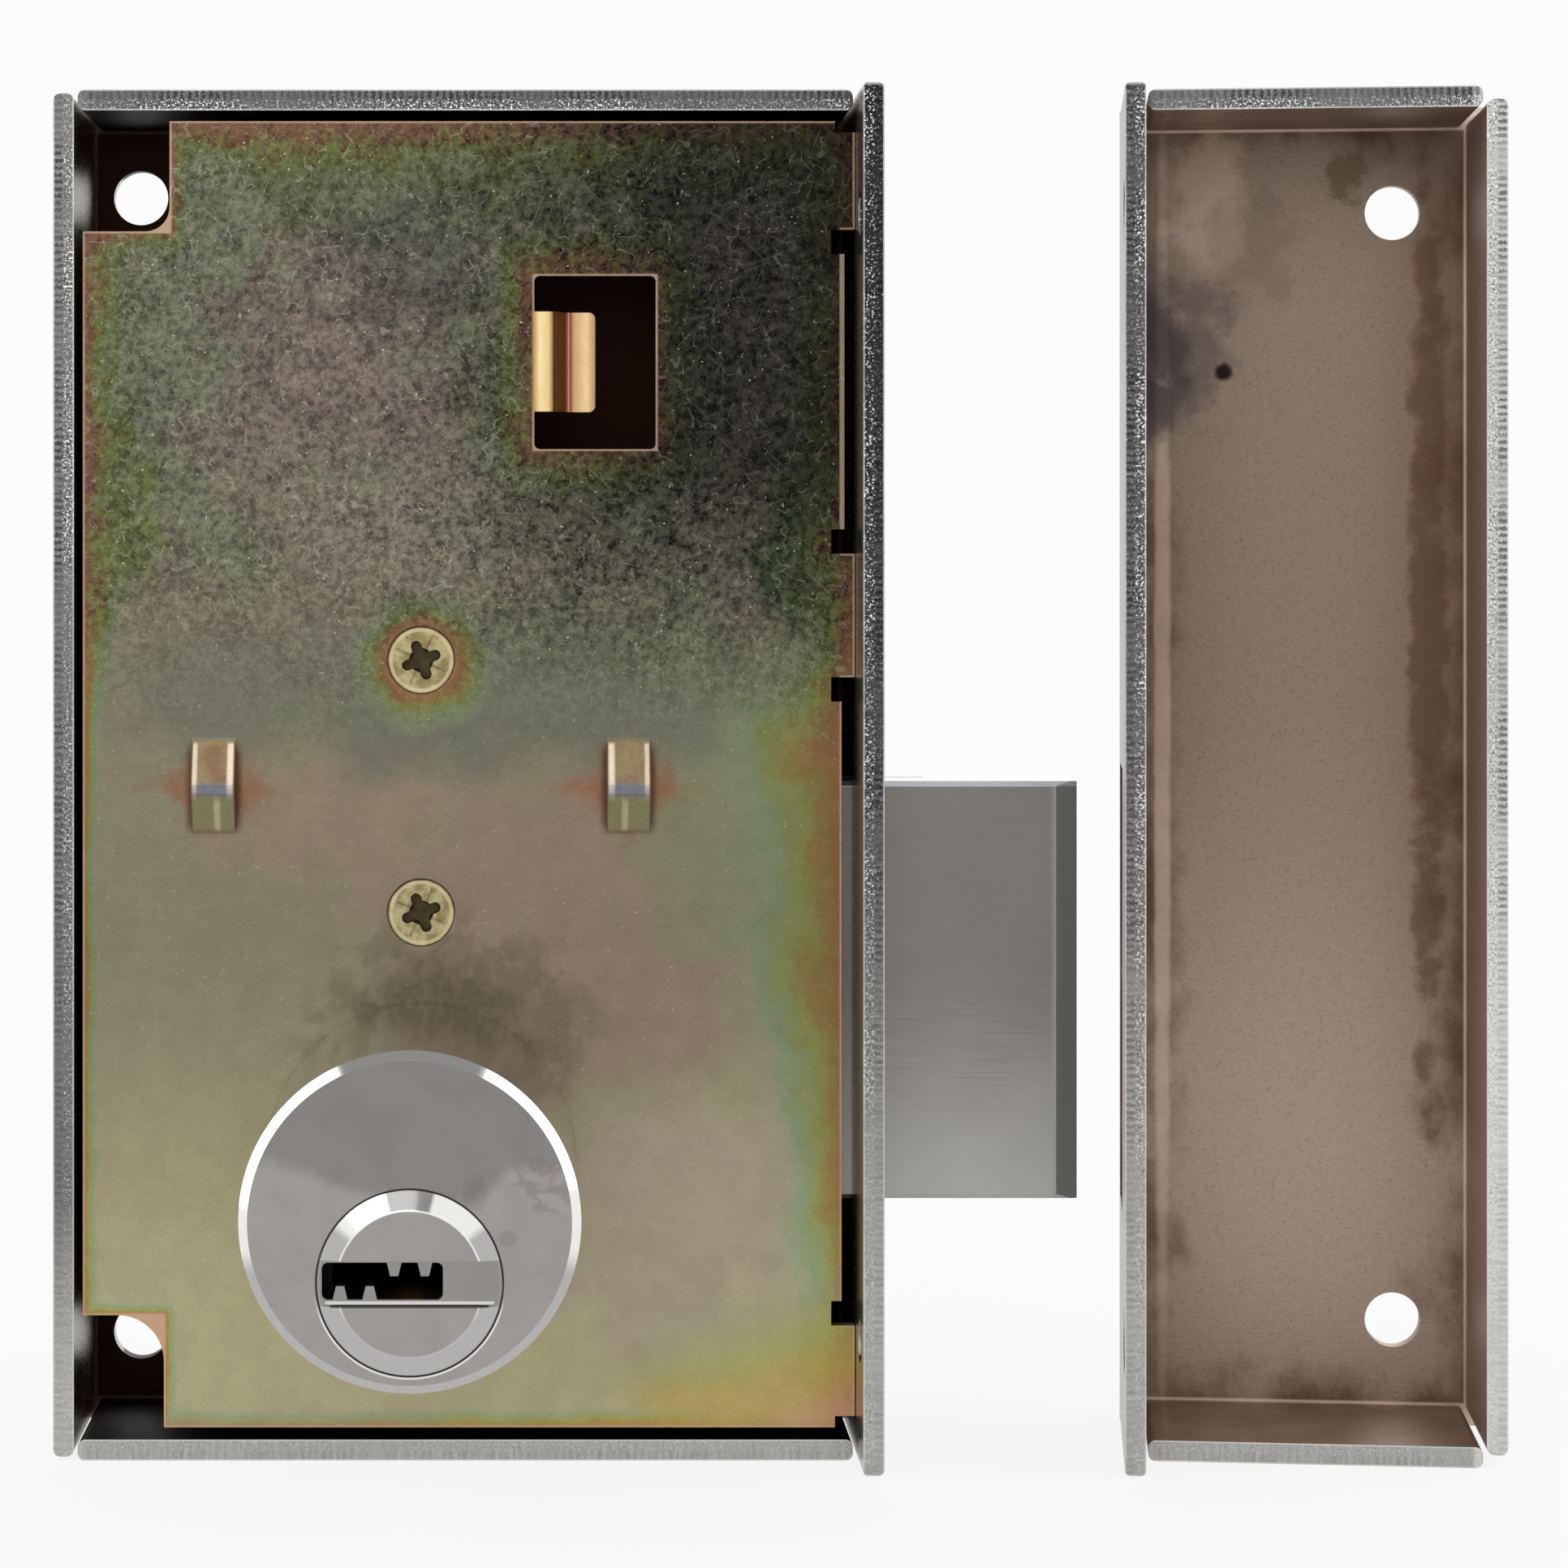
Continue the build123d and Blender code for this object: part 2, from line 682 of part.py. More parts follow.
with BuildPart() as detent_plunger:
    bar_up(detent_x, bolt_mid, detent_radius, detent_foot, high_ear_top + detent_above_ear)
    bar_up(detent_x, bolt_mid, detent_collar_radius, collar_bottom, collar_top)
    chamfer(detent_plunger.edges().group_by(Axis.Z)[0], detent_point)
save(detent_plunger, "detent_plunger")

with BuildPart() as detent_spring:
    spring_inner = detent_radius + spring_clearance
    bar_up(detent_x, bolt_mid, spring_inner + spring_wall, collar_top, high_ear)
    bar_up(detent_x, bolt_mid, spring_inner, collar_top, high_ear, Mode.SUBTRACT)
save(detent_spring, "detent_spring")

# Cylinder barrel: seats on the plate with a spigot through it; a low plug bore, pin chambers above
chamber_radius = 1.4
chamber_plug_radius = 1.65
chamber_plug_depth = 2.5
rear_web = 2.5
neck_radius = 5.0
face_rise = 0.8
collar_end_gap = 0.1
barrel_screw_depth = 14.0
barrel_near = -barrel_reach
collar_far = barrel_near + collar_length
web_near = barrel_tail - rear_web
stack_depths = [barrel_near + first_stack + stack_pitch * number for number in range(stack_count)]
shear_line = plug_z + plug_radius
chamber_plug_foot = barrel_radius - chamber_plug_depth
chamber_foot = shear_line - plug_radius / 2
barrel_screw_end = barrel_tail - barrel_screw_depth
with BuildPart() as cylinder_barrel:
    rod(0, 0, barrel_radius, barrel_near, barrel_shoulder)
    chamfer(cylinder_barrel.edges().group_by(Axis.Y)[0], barrel_bevel)
    rod(0, 0, spigot_radius, barrel_shoulder, barrel_tail)
    rod(0, plug_z, plug_radius + fit, barrel_near, web_near, mode=Mode.SUBTRACT)
    rod(0, plug_z, collar_radius + fit, barrel_near, collar_far + collar_end_gap, mode=Mode.SUBTRACT)
    rod(0, plug_z, neck_radius + fit, web_near, barrel_tail, mode=Mode.SUBTRACT)
    for depth in stack_depths:
        bar_up(0, depth, chamber_radius, chamber_foot, barrel_radius + overrun, Mode.SUBTRACT)
        bar_up(0, depth, chamber_plug_radius, chamber_plug_foot, barrel_radius + overrun, Mode.SUBTRACT)
    for x in cylinder_screw_xs:
        tapped_radius = cylinder_screw_radius + fit
        rod(x, cylinder_screw_z, tapped_radius, barrel_screw_end, barrel_tail, mode=Mode.SUBTRACT)
save(cylinder_barrel, "cylinder_barrel")

with BuildPart() as chamber_plugs:
    for depth in stack_depths:
        bar_up(0, depth, chamber_plug_radius, chamber_plug_foot, barrel_radius + overrun)
    rod(0, 0, barrel_radius, barrel_near, barrel_tail, mode=Mode.INTERSECT)
save(chamber_plugs, "chamber_plugs")

# Cylinder plug: a bevelled collar on the face, a body with a sideways keyway, and a necked tail
flat_radius = 7.0
neck_reach = 6.3
clip_groove_radius = 4.4
clip_near = 4.4
clip_thickness = 1.0
clip_side_gap = 0.1
clip_far = clip_near + clip_thickness
keyway_left = 8.4
keyway_right = 3.2
keyway_above = 1.95
keyway_below = 1.6
keyway_corner = 0.6
keyway_stop = 5.0
face_groove_above = 2.15
face_groove_below = 2.2
ward_height = 1.3
ward_base = 1.42
ward_tip = 0.78
upper_wards = (-1.47, 1.47)
lower_wards = (-6.64, -3.81)
pin_radius = 1.35
nose_radius = 1.0
nose_tip_radius = 0.6
nose_taper = 0.9
seat_above_keyway = 1.15
pin_slack = 0.1
dropped_nose_reach = 2.45
ward_root = 0.05
pin_drops = (1.2, 1.8, 0.8, 1.5, 2.1)
keyway_top = plug_z + keyway_above
keyway_bottom = plug_z - keyway_below
pin_seat = keyway_top + seat_above_keyway
nose_length = pin_seat - keyway_top + dropped_nose_reach
pin_top = plug_z + sqrt(plug_radius**2 - pin_radius**2) - fit / 2


def ward(x, edge, towards):
    """A tapered rib on one side of the keyway, running its whole length."""
    tip = edge + towards * ward_height
    root = edge - towards * ward_root
    base = [(x - ward_base / 2, root), (x + ward_base / 2, root)]
    crest = [(x + ward_tip / 2, tip), (x - ward_tip / 2, tip)]
    plate_outline(base + crest, barrel_near, -keyway_stop)


with BuildPart() as cylinder_plug:
    rod(0, plug_z, plug_radius, collar_far, web_near)
    rod(0, plug_z, collar_radius, barrel_near, collar_far)
    cone(0, plug_z, flat_radius, collar_radius, barrel_near - face_rise, barrel_near)
    rod(0, plug_z, neck_radius, web_near, neck_reach)
    with BuildSketch(at_depth(-keyway_stop)) as keyway:
        with Locations(((keyway_right - keyway_left) / 2, (keyway_top + keyway_bottom) / 2)):
            RectangleRounded(keyway_left + keyway_right, keyway_top - keyway_bottom, keyway_corner)
    extrude(keyway.sketch, amount=barrel_reach + face_rise - keyway_stop + overrun, mode=Mode.SUBTRACT)
    for x in upper_wards:
        ward(x, keyway_top, -1)
    for x in lower_wards:
        ward(x, keyway_bottom, 1)
    slab(
        -collar_radius - overrun,
        collar_radius + overrun,
        plug_z - face_groove_below,
        plug_z + face_groove_above,
        barrel_near - face_rise - overrun,
        barrel_near,
        mode=Mode.SUBTRACT,
    )
    for depth in stack_depths:
        bar_up(0, depth, chamber_radius, pin_seat, shear_line + overrun, Mode.SUBTRACT)
        bar_up(0, depth, nose_radius + fit, keyway_top - ward_height - fit, pin_seat, Mode.SUBTRACT)
    rod(0, plug_z, neck_radius + overrun, clip_near - fit, clip_far + fit, mode=Mode.SUBTRACT)
    rod(0, plug_z, clip_groove_radius, clip_near - clip_side_gap, clip_far + clip_side_gap)
    slab(
        -dog_width / 2 - fit,
        dog_width / 2 + fit,
        plug_z - dog_thickness / 2 - fit,
        plug_z + dog_thickness / 2 + fit,
        -dog_slot_depth,
        neck_reach + overrun,
        mode=Mode.SUBTRACT,
    )
save(cylinder_plug, "cylinder_plug")

with BuildPart() as plug_tailpiece:
    half = dog_thickness / 2
    slab(-dog_width / 2, dog_width / 2, plug_z - half, plug_z + half, -dog_slot_depth, dog_reach)
save(plug_tailpiece, "plug_tailpiece")

clip_radius = 6.4
clip_mouth = 3.0
with BuildPart() as plug_circlip:
    rod(0, plug_z, clip_radius, clip_near, clip_far)
    rod(0, plug_z, clip_groove_radius + fit, clip_near, clip_far, mode=Mode.SUBTRACT)
    mouth = clip_mouth / 2
    mouth_foot = plug_z - clip_radius - overrun
    slab(-mouth, mouth, mouth_foot, plug_z, clip_near, clip_far, mode=Mode.SUBTRACT)
save(plug_circlip, "plug_circlip")

# Pin stacks: key pins cut to different lengths, drivers above the shear line, and their springs
driver_length = 5.2
driver_bottom = shear_line + fit
driver_top = driver_bottom + driver_length
pin_spring_radius = 1.25
pin_spring_wall = 0.35
for number, (depth, drop) in enumerate(zip(stack_depths, pin_drops), start=1):
    with BuildPart() as key_pin:
        bar_up(0, depth, pin_radius, pin_seat + drop, pin_top)
        bar_up(0, depth, nose_radius, pin_seat + drop - nose_length, pin_seat + drop)
        nose_end = key_pin.edges().group_by(Axis.Z)[0]
        nose_face = key_pin.faces().sort_by(Axis.Z)[0]
        chamfer(nose_end, nose_radius - nose_tip_radius, nose_taper, reference=nose_face)
    save(key_pin, f"key_pin_{number}")
    with BuildPart() as driver_pin:
        bar_up(0, depth, pin_radius, driver_bottom, driver_top)
        chamfer(driver_pin.edges().filter_by(GeomType.CIRCLE), pin_slack)
    save(driver_pin, f"driver_pin_{number}")
    with BuildPart() as pin_spring:
        bar_up(0, depth, pin_spring_radius, driver_top, chamber_plug_foot)
        bar_up(0, depth, pin_spring_radius - pin_spring_wall, driver_top, chamber_plug_foot, Mode.SUBTRACT)
    save(pin_spring, f"pin_spring_{number}")

# Spacers between barrel and floor, and the two screws that hold the cylinder from the room side
spacer_radius = 2.8
pan_head_radius = 3.6
pan_head = 2.4
pan_head_edge = 0.6
driver_slot = 1.0
driver_slot_depth = 1.1
turn_base_thickness = 2.0
screw_gap = 0.5
turn_base_far = case_depth + turn_base_thickness
with BuildPart() as cylinder_spacers:
    for x in cylinder_screw_xs:
        rod(x, cylinder_screw_z, spacer_radius, barrel_tail, floor_depth)
        rod(x, cylinder_screw_z, cylinder_screw_hole, barrel_tail, floor_depth, mode=Mode.SUBTRACT)
save(cylinder_spacers, "cylinder_spacers")

with BuildPart() as cylinder_screws:
    for x in cylinder_screw_xs:
        rod(x, cylinder_screw_z, cylinder_screw_radius, barrel_screw_end + screw_gap, turn_base_far)
        rod(x, cylinder_screw_z, pan_head_radius, turn_base_far, turn_base_far + pan_head)
    chamfer(cylinder_screws.edges().filter_by(GeomType.CIRCLE).group_by(Axis.Y)[-1], pan_head_edge)
    for x in cylinder_screw_xs:
        slab(
            x - pan_head_radius - overrun,
            x + pan_head_radius + overrun,
            cylinder_screw_z - driver_slot / 2,
            cylinder_screw_z + driver_slot / 2,
            turn_base_far + pan_head - driver_slot_depth,
            turn_base_far + pan_head + overrun,
            mode=Mode.SUBTRACT,
        )
save(cylinder_screws, "cylinder_screws")

# Room side: a base disc, a cover pressed over it, and a thumb turn on the pinion's square
turn_base_radius = 20.0
shaft_gap = 0.3
cover_wall = 1.0
cover_depth = 7.0
neck_of_turn_radius = 9.0
neck_past_case = 5.0
grip_past_case = 10.0
grip_length = 34.0
grip_width = 12.0
grip_depth = 18.0
grip_edge = 2.5
square_fit = 0.1
grub_radius = 1.5
grub_past_case = 14.0
grub_socket = 0.75
grub_socket_depth = 1.6
cover_far = case_depth + cover_depth
neck_of_turn_near = case_depth + neck_past_case
grip_near = case_depth + grip_past_case
grub_depth = case_depth + grub_past_case
with BuildPart() as turn_base:
    rod(0, plug_z, turn_base_radius, case_depth, turn_base_far)
    rod(0, plug_z, journal_radius + shaft_gap, case_depth, turn_base_far, mode=Mode.SUBTRACT)
    for x in cylinder_screw_xs:
        rod(x, cylinder_screw_z, cylinder_screw_hole, case_depth, turn_base_far, mode=Mode.SUBTRACT)
save(turn_base, "turn_base")

with BuildPart() as turn_cover:
    rod(0, plug_z, turn_base_radius + fit + cover_wall, case_depth, cover_far)
    fillet(turn_cover.edges().filter_by(GeomType.CIRCLE).group_by(Axis.Y)[-1], cover_wall)
    rod(0, plug_z, turn_base_radius + fit, case_depth, cover_far - cover_wall, mode=Mode.SUBTRACT)
    rod(0, plug_z, neck_of_turn_radius + shaft_gap, case_depth, cover_far, mode=Mode.SUBTRACT)
save(turn_cover, "turn_cover")

with BuildPart() as thumb_turn:
    grip_far = grip_near + grip_depth
    with BuildSketch(at_depth(grip_far)) as grip:
        with Locations((0, plug_z)):
            RectangleRounded(grip_width, grip_length, grip_width / 2 - fit)
    extrude(grip.sketch, amount=grip_depth)
    fillet(thumb_turn.edges().group_by(Axis.Y)[-1], grip_edge)
    rod(0, plug_z, neck_of_turn_radius, neck_of_turn_near, grip_near)
    half = square_side / 2 + square_fit
    square_end = square_reach + loose_fit
    slab(-half, half, plug_z - half, plug_z + half, neck_of_turn_near, square_end, mode=Mode.SUBTRACT)
    with BuildSketch(Plane.YZ) as grub_hole:
        with Locations((grub_depth, plug_z)):
            Circle(grub_radius + fit)
    extrude(grub_hole.sketch, amount=grip_width, mode=Mode.SUBTRACT)
save(thumb_turn, "thumb_turn")

with BuildPart() as turn_grub_screw:
    grub_inner = square_side / 2 + fit
    grub_outer = grip_width / 2 - shaft_gap
    with BuildSketch(Plane.YZ.offset(grub_inner)) as grub:
        with Locations((grub_depth, plug_z)):
            Circle(grub_radius)
    extrude(grub.sketch, amount=grub_outer - grub_inner)
    with BuildSketch(Plane.YZ.offset(grub_outer - grub_socket_depth)) as socket:
        with Locations((grub_depth, plug_z)):
            RegularPolygon(grub_socket, 6)
    extrude(socket.sketch, amount=grub_socket_depth + overrun, mode=Mode.SUBTRACT)
save(turn_grub_screw, "turn_grub_screw")
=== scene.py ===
"""Looks of a rim box lock and its keeper.

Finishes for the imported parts, wound springs, the floor, the light and the camera.
"""

import bpy
import math
from mathutils import Matrix, Vector


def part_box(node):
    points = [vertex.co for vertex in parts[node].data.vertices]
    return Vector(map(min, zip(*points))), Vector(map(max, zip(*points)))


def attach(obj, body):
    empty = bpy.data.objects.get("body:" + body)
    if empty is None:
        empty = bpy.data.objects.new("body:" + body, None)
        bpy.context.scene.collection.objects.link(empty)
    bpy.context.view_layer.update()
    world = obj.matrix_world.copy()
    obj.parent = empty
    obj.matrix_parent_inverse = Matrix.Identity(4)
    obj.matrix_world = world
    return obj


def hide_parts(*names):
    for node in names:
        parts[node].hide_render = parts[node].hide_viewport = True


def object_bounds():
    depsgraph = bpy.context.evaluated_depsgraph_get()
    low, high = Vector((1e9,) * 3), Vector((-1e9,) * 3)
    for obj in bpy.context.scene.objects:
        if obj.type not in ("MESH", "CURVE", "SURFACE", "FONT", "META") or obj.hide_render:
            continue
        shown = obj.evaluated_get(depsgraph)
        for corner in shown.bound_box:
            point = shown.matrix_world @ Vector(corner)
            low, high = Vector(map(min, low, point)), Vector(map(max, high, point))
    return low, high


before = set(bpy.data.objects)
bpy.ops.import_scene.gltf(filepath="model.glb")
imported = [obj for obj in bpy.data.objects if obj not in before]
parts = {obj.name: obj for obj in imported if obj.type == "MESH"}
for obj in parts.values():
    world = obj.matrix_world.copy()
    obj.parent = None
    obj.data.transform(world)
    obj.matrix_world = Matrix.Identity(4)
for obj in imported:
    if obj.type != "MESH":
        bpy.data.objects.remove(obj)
cad_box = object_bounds()

# Case: one steel sheet folded into a shallow box with a long lip wall, nickel plated after
# folding. Its cut edges face the door and keep the drag marks of the shear, with painted light
# and shade on them; its inside is hardly reached by the plating and stays brown, painted nearly
# black as shade, with painted light on its inner walls.
millimetre = 0.001
sheet_thickness = 2.2
rim_depth = 0.6


class Value:
    """A number, colour or vector that varies over a surface: one output of a node."""

    def __init__(self, shader, socket):
        self.shader = shader
        self.socket = socket

    def math(self, operation, *others):
        sockets = dict(enumerate((self, *others)))
        return self.shader.node("Math", {"operation": operation}, sockets)

    def __add__(self, other):
        return self.math("ADD", other)

    def __mul__(self, other):
        return self.math("MULTIPLY", other)

    def __sub__(self, other):
        return self.math("SUBTRACT", other)

    def __truediv__(self, other):
        return self.math("DIVIDE", other)

    def __rsub__(self, other):
        return self.shader.node("Math", {"operation": "SUBTRACT"}, {0: other, 1: self})

    __radd__ = __add__
    __rmul__ = __mul__

    def at_least(self, other):
        return self.math("MAXIMUM", other)

    def at_most(self, other):
        return self.math("MINIMUM", other)

    def size(self):
        return self.math("ABSOLUTE")

    def rise(self, start, end):
        """0 before start and 1 past end, with a soft turn between them."""
        sockets = {0: self, 1: start, 2: end, 3: 0.0, 4: 1.0}
        return self.shader.node("MapRange", {"interpolation_type": "SMOOTHSTEP"}, sockets)


class Shader:
    """The nodes of a material or of the surround, and one way to add to them."""

    first_colour, second_colour, mixed_colour = 6, 7, 2  # as a Mix node numbers its colours

    def __init__(self, owner, surface, sockets):
        owner.use_nodes = True
        self.nodes = owner.node_tree.nodes
        self.links = owner.node_tree.links
        self.surface = self.nodes[surface]
        self.feed(self.surface, sockets)

    def feed(self, node, sockets):
        for key, value in sockets.items():
            if isinstance(value, Value):
                self.links.new(value.socket, node.inputs[key])
            else:
                node.inputs[key].default_value = value

    def node(self, kind, settings, sockets, output=0):
        """Adds a node: its settings first, then its sockets, each a plain value or a Value."""
        made = self.nodes.new("ShaderNode" + kind)
        for name, value in settings.items():
            if name == "stops":
                ramp = made.color_ramp.elements
                while len(ramp) < len(value):
                    ramp.new(1.0)
                for element, (place, colour) in zip(ramp, value):
                    element.position = place
                    element.color = colour
            else:
                setattr(made, name, value)
        self.feed(made, sockets)
        return Value(self, made.outputs[output])

    def split(self, vector):
        """The X, Y and Z of a vector."""
        first = self.node("SeparateXYZ", {}, {0: vector})
        return [Value(self, socket) for socket in first.socket.node.outputs]

    def place(self, origin=(0, 0, 0), turn=0.0):
        """Where the surface lies, in millimetres from an origin, along axes turned about Z."""
        sockets = {
            "Vector": self.node("TexCoord", {}, {}, "Object"),
            "Location": origin,
            "Rotation": (0, 0, turn),
            "Scale": [millimetre] * 3,
        }
        return self.node("Mapping", {"vector_type": "TEXTURE"}, sockets)

    def facing(self, turn=0.0):
        """Which way the surface faces, along axes turned about Z."""
        sockets = {"Vector": self.node("TexCoord", {}, {}, "Normal"), "Rotation": (0, 0, -turn)}
        return self.node("Mapping", {"vector_type": "VECTOR"}, sockets)

    def noise(self, place, stretch, detail=3.0, turn=(0, 0, 0), roughness=0.5, warp=0.0):
        """Cloudy noise around 0.5, with this many blotches to a millimetre along each axis."""
        point = {"vector_type": "POINT"}
        turned = self.node("Mapping", point, {"Vector": place, "Rotation": turn})
        sockets = {
            "Vector": self.node("Mapping", point, {"Vector": turned, "Scale": stretch}),
            "Scale": 1.0,
            "Detail": detail,
            "Roughness": roughness,
            "Distortion": warp,
        }
        return self.node("TexNoise", {}, sockets)

    def mix(self, share, first, second):
        """One colour that turns into another as the share goes from 0 to 1."""
        settings = {"data_type": "RGBA", "clamp_factor": True}
        sockets = {0: share, self.first_colour: first, self.second_colour: second}
        return self.node("Mix", settings, sockets, self.mixed_colour)

    def tint(self, colour, factor):
        """A colour made darker or lighter by a varying factor."""
        grey = self.node("CombineXYZ", {}, {0: factor, 1: factor, 2: factor})
        settings = {"data_type": "RGBA", "blend_type": "MULTIPLY"}
        sockets = {0: 1.0, self.first_colour: colour, self.second_colour: grey}
        return self.node("Mix", settings, sockets, self.mixed_colour)

    def bump(self, height, depth):
        """The surface's direction where a height lifts it by up to a depth in millimetres."""
        sockets = {"Strength": 1.0, "Distance": depth * millimetre, "Height": height}
        return self.node("Bump", {}, sockets)


class Finish(Shader):
    """One finish: a material, its surface shader, and the nodes that vary it."""

    def __init__(self, name, sockets):
        self.material = bpy.data.materials.new(name)
        super().__init__(self.material, "Principled BSDF", sockets)


def shade(red, green, blue):
    """A colour given as it shows on a screen, from 0 to 255, as the shader takes it."""
    return [((level / 255 + 0.055) / 1.055) ** 2.4 for level in (red, green, blue)] + [1.0]


def dress(finish, *names):
    """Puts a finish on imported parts."""
    for name in names:
        for slot in parts[name].material_slots:
            slot.material = finish.material


def folded_sheet(
    name,
    origin,
    turn,
    width,
    low,
    high,
    depth,
    lining_tones,
    upward_shade,
    rim_tones,
    foot_light_reach,
    side_light_gains,
    lip_shade,
    wall_light_tone,
    wall_light_shares,
    wall_matte,
):
    """Plated sheet: satin outside, stained inside, with bars and specks along its sheared rims.

    The lining has tones for its middle, for stains with painted shade near the walls, and for a
    painted highlight along the fold; a painted shade darkens it upwards and on the far side. The
    rims are painted lighter at the foot, up to a height at each side, as a reflection of the
    floor, and darker at the head. The gains paint light on the side rims, a painted shade darkens
    the lip's rim, painted highlights line the rim edges, and the inner walls take a painted light
    tone.
    """
    finish = Finish(name, {"Metallic": 1.0})
    place = finish.place(origin, turn)
    across, inward, up = finish.split(place)
    faces_across, faces_in, faces_up = finish.split(finish.facing(turn))
    middle_up = (low + high) / 2
    towards = faces_across * (width / 2 - across) + faces_in * (depth / 2 - inward)
    inside = (towards + faces_up * (middle_up - up)).rise(0.0, 0.4)
    rim = inward.rise(rim_depth, rim_depth - 0.2) * faces_in.rise(-0.55, -0.75)

    wall_gap = across.at_most(width - across)
    end_gap = (up - low).at_most(high - up)
    upright = wall_gap.rise(sheet_thickness + 0.15, sheet_thickness + 0.05)
    from_edge = end_gap + (wall_gap - end_gap) * upright
    patches = finish.noise(place, (0.13, 0.13, 0.13), 2.0)
    worn_height = up.rise(low + 5.0, high - 55.0)
    wear = (patches.rise(0.36, 0.6) * 0.65 + 0.35) * (0.22 + 0.78 * worn_height)
    bars_level = finish.noise(place, (2.1, 1, 0.3), 2.0, roughness=0.6)
    bars_upright = finish.noise(place, (0.3, 1, 2.1), 2.0, roughness=0.6)
    bars = bars_level + (bars_upright - bars_level) * upright
    specks = finish.noise(place, (3.6, 3.6, 3.6), 2.0, roughness=0.75)
    inner_half = from_edge.rise(0.85, 1.25)
    # Painted light and shade: the rims are lighter at the foot, a painted reflection of the
    # floor, and darker at the head; the gains paint extra light on the side rims.
    lit_foot_tone, shaded_head_tone = rim_tones
    near_reach, far_reach = foot_light_reach
    foot_light_height = near_reach + (far_reach - near_reach) / width * across
    foot_light = ((up - low) / foot_light_height).rise(1.0, 0.15)
    sheared = finish.mix(foot_light, shaded_head_tone, lit_foot_tone)
    sheared = finish.tint(sheared, 1.0 + (bars - 0.5) * 0.5 + (specks - 0.5) * 0.45)
    near_light_gain, far_light_gain = side_light_gains
    near_side, far_side = across.rise(4.0, 3.0), across.rise(width - 4.0, width - 3.0)
    side_light = near_side * near_light_gain + far_side * far_light_gain
    sheared = finish.tint(sheared, 1.0 + side_light * (1.0 - 0.75 * foot_light))
    along = across + (up - across) * upright
    comb_rate, comb_jitter = 8.4, 6.0
    comb = (along * comb_rate + specks * comb_jitter).math("SINE") * 0.5 + 0.5
    barred = (bars * 0.62 + comb * 0.38).rise(0.56, 0.44) * (1 - inner_half) * wear
    sheared = finish.mix(barred * 0.72, sheared, shade(24, 24, 26))
    pits = specks.rise(0.45, 0.37) * inner_half * wear
    sheared = finish.mix(pits * 0.9, sheared, shade(20, 20, 22))
    glints = specks.rise(0.55, 0.62) * (inner_half * 0.85 + 0.15) * wear
    sheared = finish.mix(glints, sheared, shade(244, 244, 244))
    # Painted shade on the top of the lip's rim.
    lip_side, lip_shade_share = lip_shade
    lip_top_shade = across.rise(*lip_side) * up.rise(high - 105.0, high - 20.0)
    lip_top_shade = lip_top_shade * (1 - specks.rise(0.57, 0.64))
    sheared = finish.mix(lip_top_shade * lip_shade_share, sheared, shade(26, 26, 28))
    # Painted highlight lines along both edges of each rim.
    inner_edge_highlight = from_edge.rise(sheet_thickness - 0.2, sheet_thickness - 0.08)
    rim_edge_highlight = from_edge.rise(0.2, 0.08).at_least(inner_edge_highlight)
    sheared = finish.mix(rim_edge_highlight * (0.25 + 0.5 * patches), sheared, shade(226, 226, 226))

    brushed = finish.noise(place, (0.35, 0.35, 9.0), 3.0)
    cloud = finish.noise(place, (0.05, 0.05, 0.05), 3.0)
    outer = finish.tint(shade(176, 175, 172), 0.86 + 0.16 * brushed + 0.12 * cloud)

    # The lining: its own stains, with painted shade near the walls and corners, towards the top
    # and on the far side of the floor.
    middle_tone, stain_and_shade_tone, fold_highlight_tone = lining_tones
    gap = (wall_gap - sheet_thickness).at_most(end_gap - sheet_thickness)
    stain = finish.noise(place, (0.12, 0.12, 0.09), 5.0, roughness=0.6)
    fine = finish.noise(place, (1.3, 1.3, 1.3), 4.0, roughness=0.62)
    stain_and_corner_shade = (gap * 0.11 + stain * 2.2 - 0.55).rise(0.2, 1.15)
    lining = finish.mix(stain_and_corner_shade, stain_and_shade_tone, middle_tone)
    lining = finish.tint(lining, 0.8 + 0.4 * fine)
    lining = finish.mix(specks.rise(0.42, 0.34) * 0.35, lining, stain_and_shade_tone)
    lining = finish.tint(lining, 1.0 - upward_shade * up.rise(low + 25.0, high - 60.0))
    far_floor_shade = across.rise(width - 14.0, width - 3.0) * up.rise(low + 20.0, high - 60.0)
    lining = finish.mix(far_floor_shade * upward_shade, lining, stain_and_shade_tone)
    # Painted highlight along the fold at the lip.
    fold = gap.rise(0.4, 0.14) * inward.rise(depth - 3.2, depth - 2.6)
    lining = finish.mix(fold * (0.4 + 0.6 * stain), lining, fold_highlight_tone)
    # Painted light on the inner walls.
    side_light_share, end_light_share = wall_light_shares
    on_sides = faces_across.size().rise(0.6, 0.8) * side_light_share
    on_ends = faces_up.size().rise(0.6, 0.8) * end_light_share
    on_wall = (on_sides + on_ends) * inside
    lining = finish.mix(on_wall, lining, wall_light_tone)

    colour = finish.mix(inside, outer, lining)
    finish.colour = finish.mix(rim, colour, sheared)
    finish.across, finish.up, finish.inside, finish.rim = across, up, inside, rim
    height = rim * (bars * 0.6 + specks * 0.5) + (1 - rim) * brushed * 0.3
    finish.feed(finish.surface, {
        "Base Color": finish.colour,
        "Metallic": 1.0 - wall_matte * on_wall,
        "Roughness": 0.28 + 0.14 * inside + 0.16 * fine - 0.28 * (1.0 - wall_matte) * on_wall,
        "Normal": finish.bump(height, 0.05),
    })
    return finish


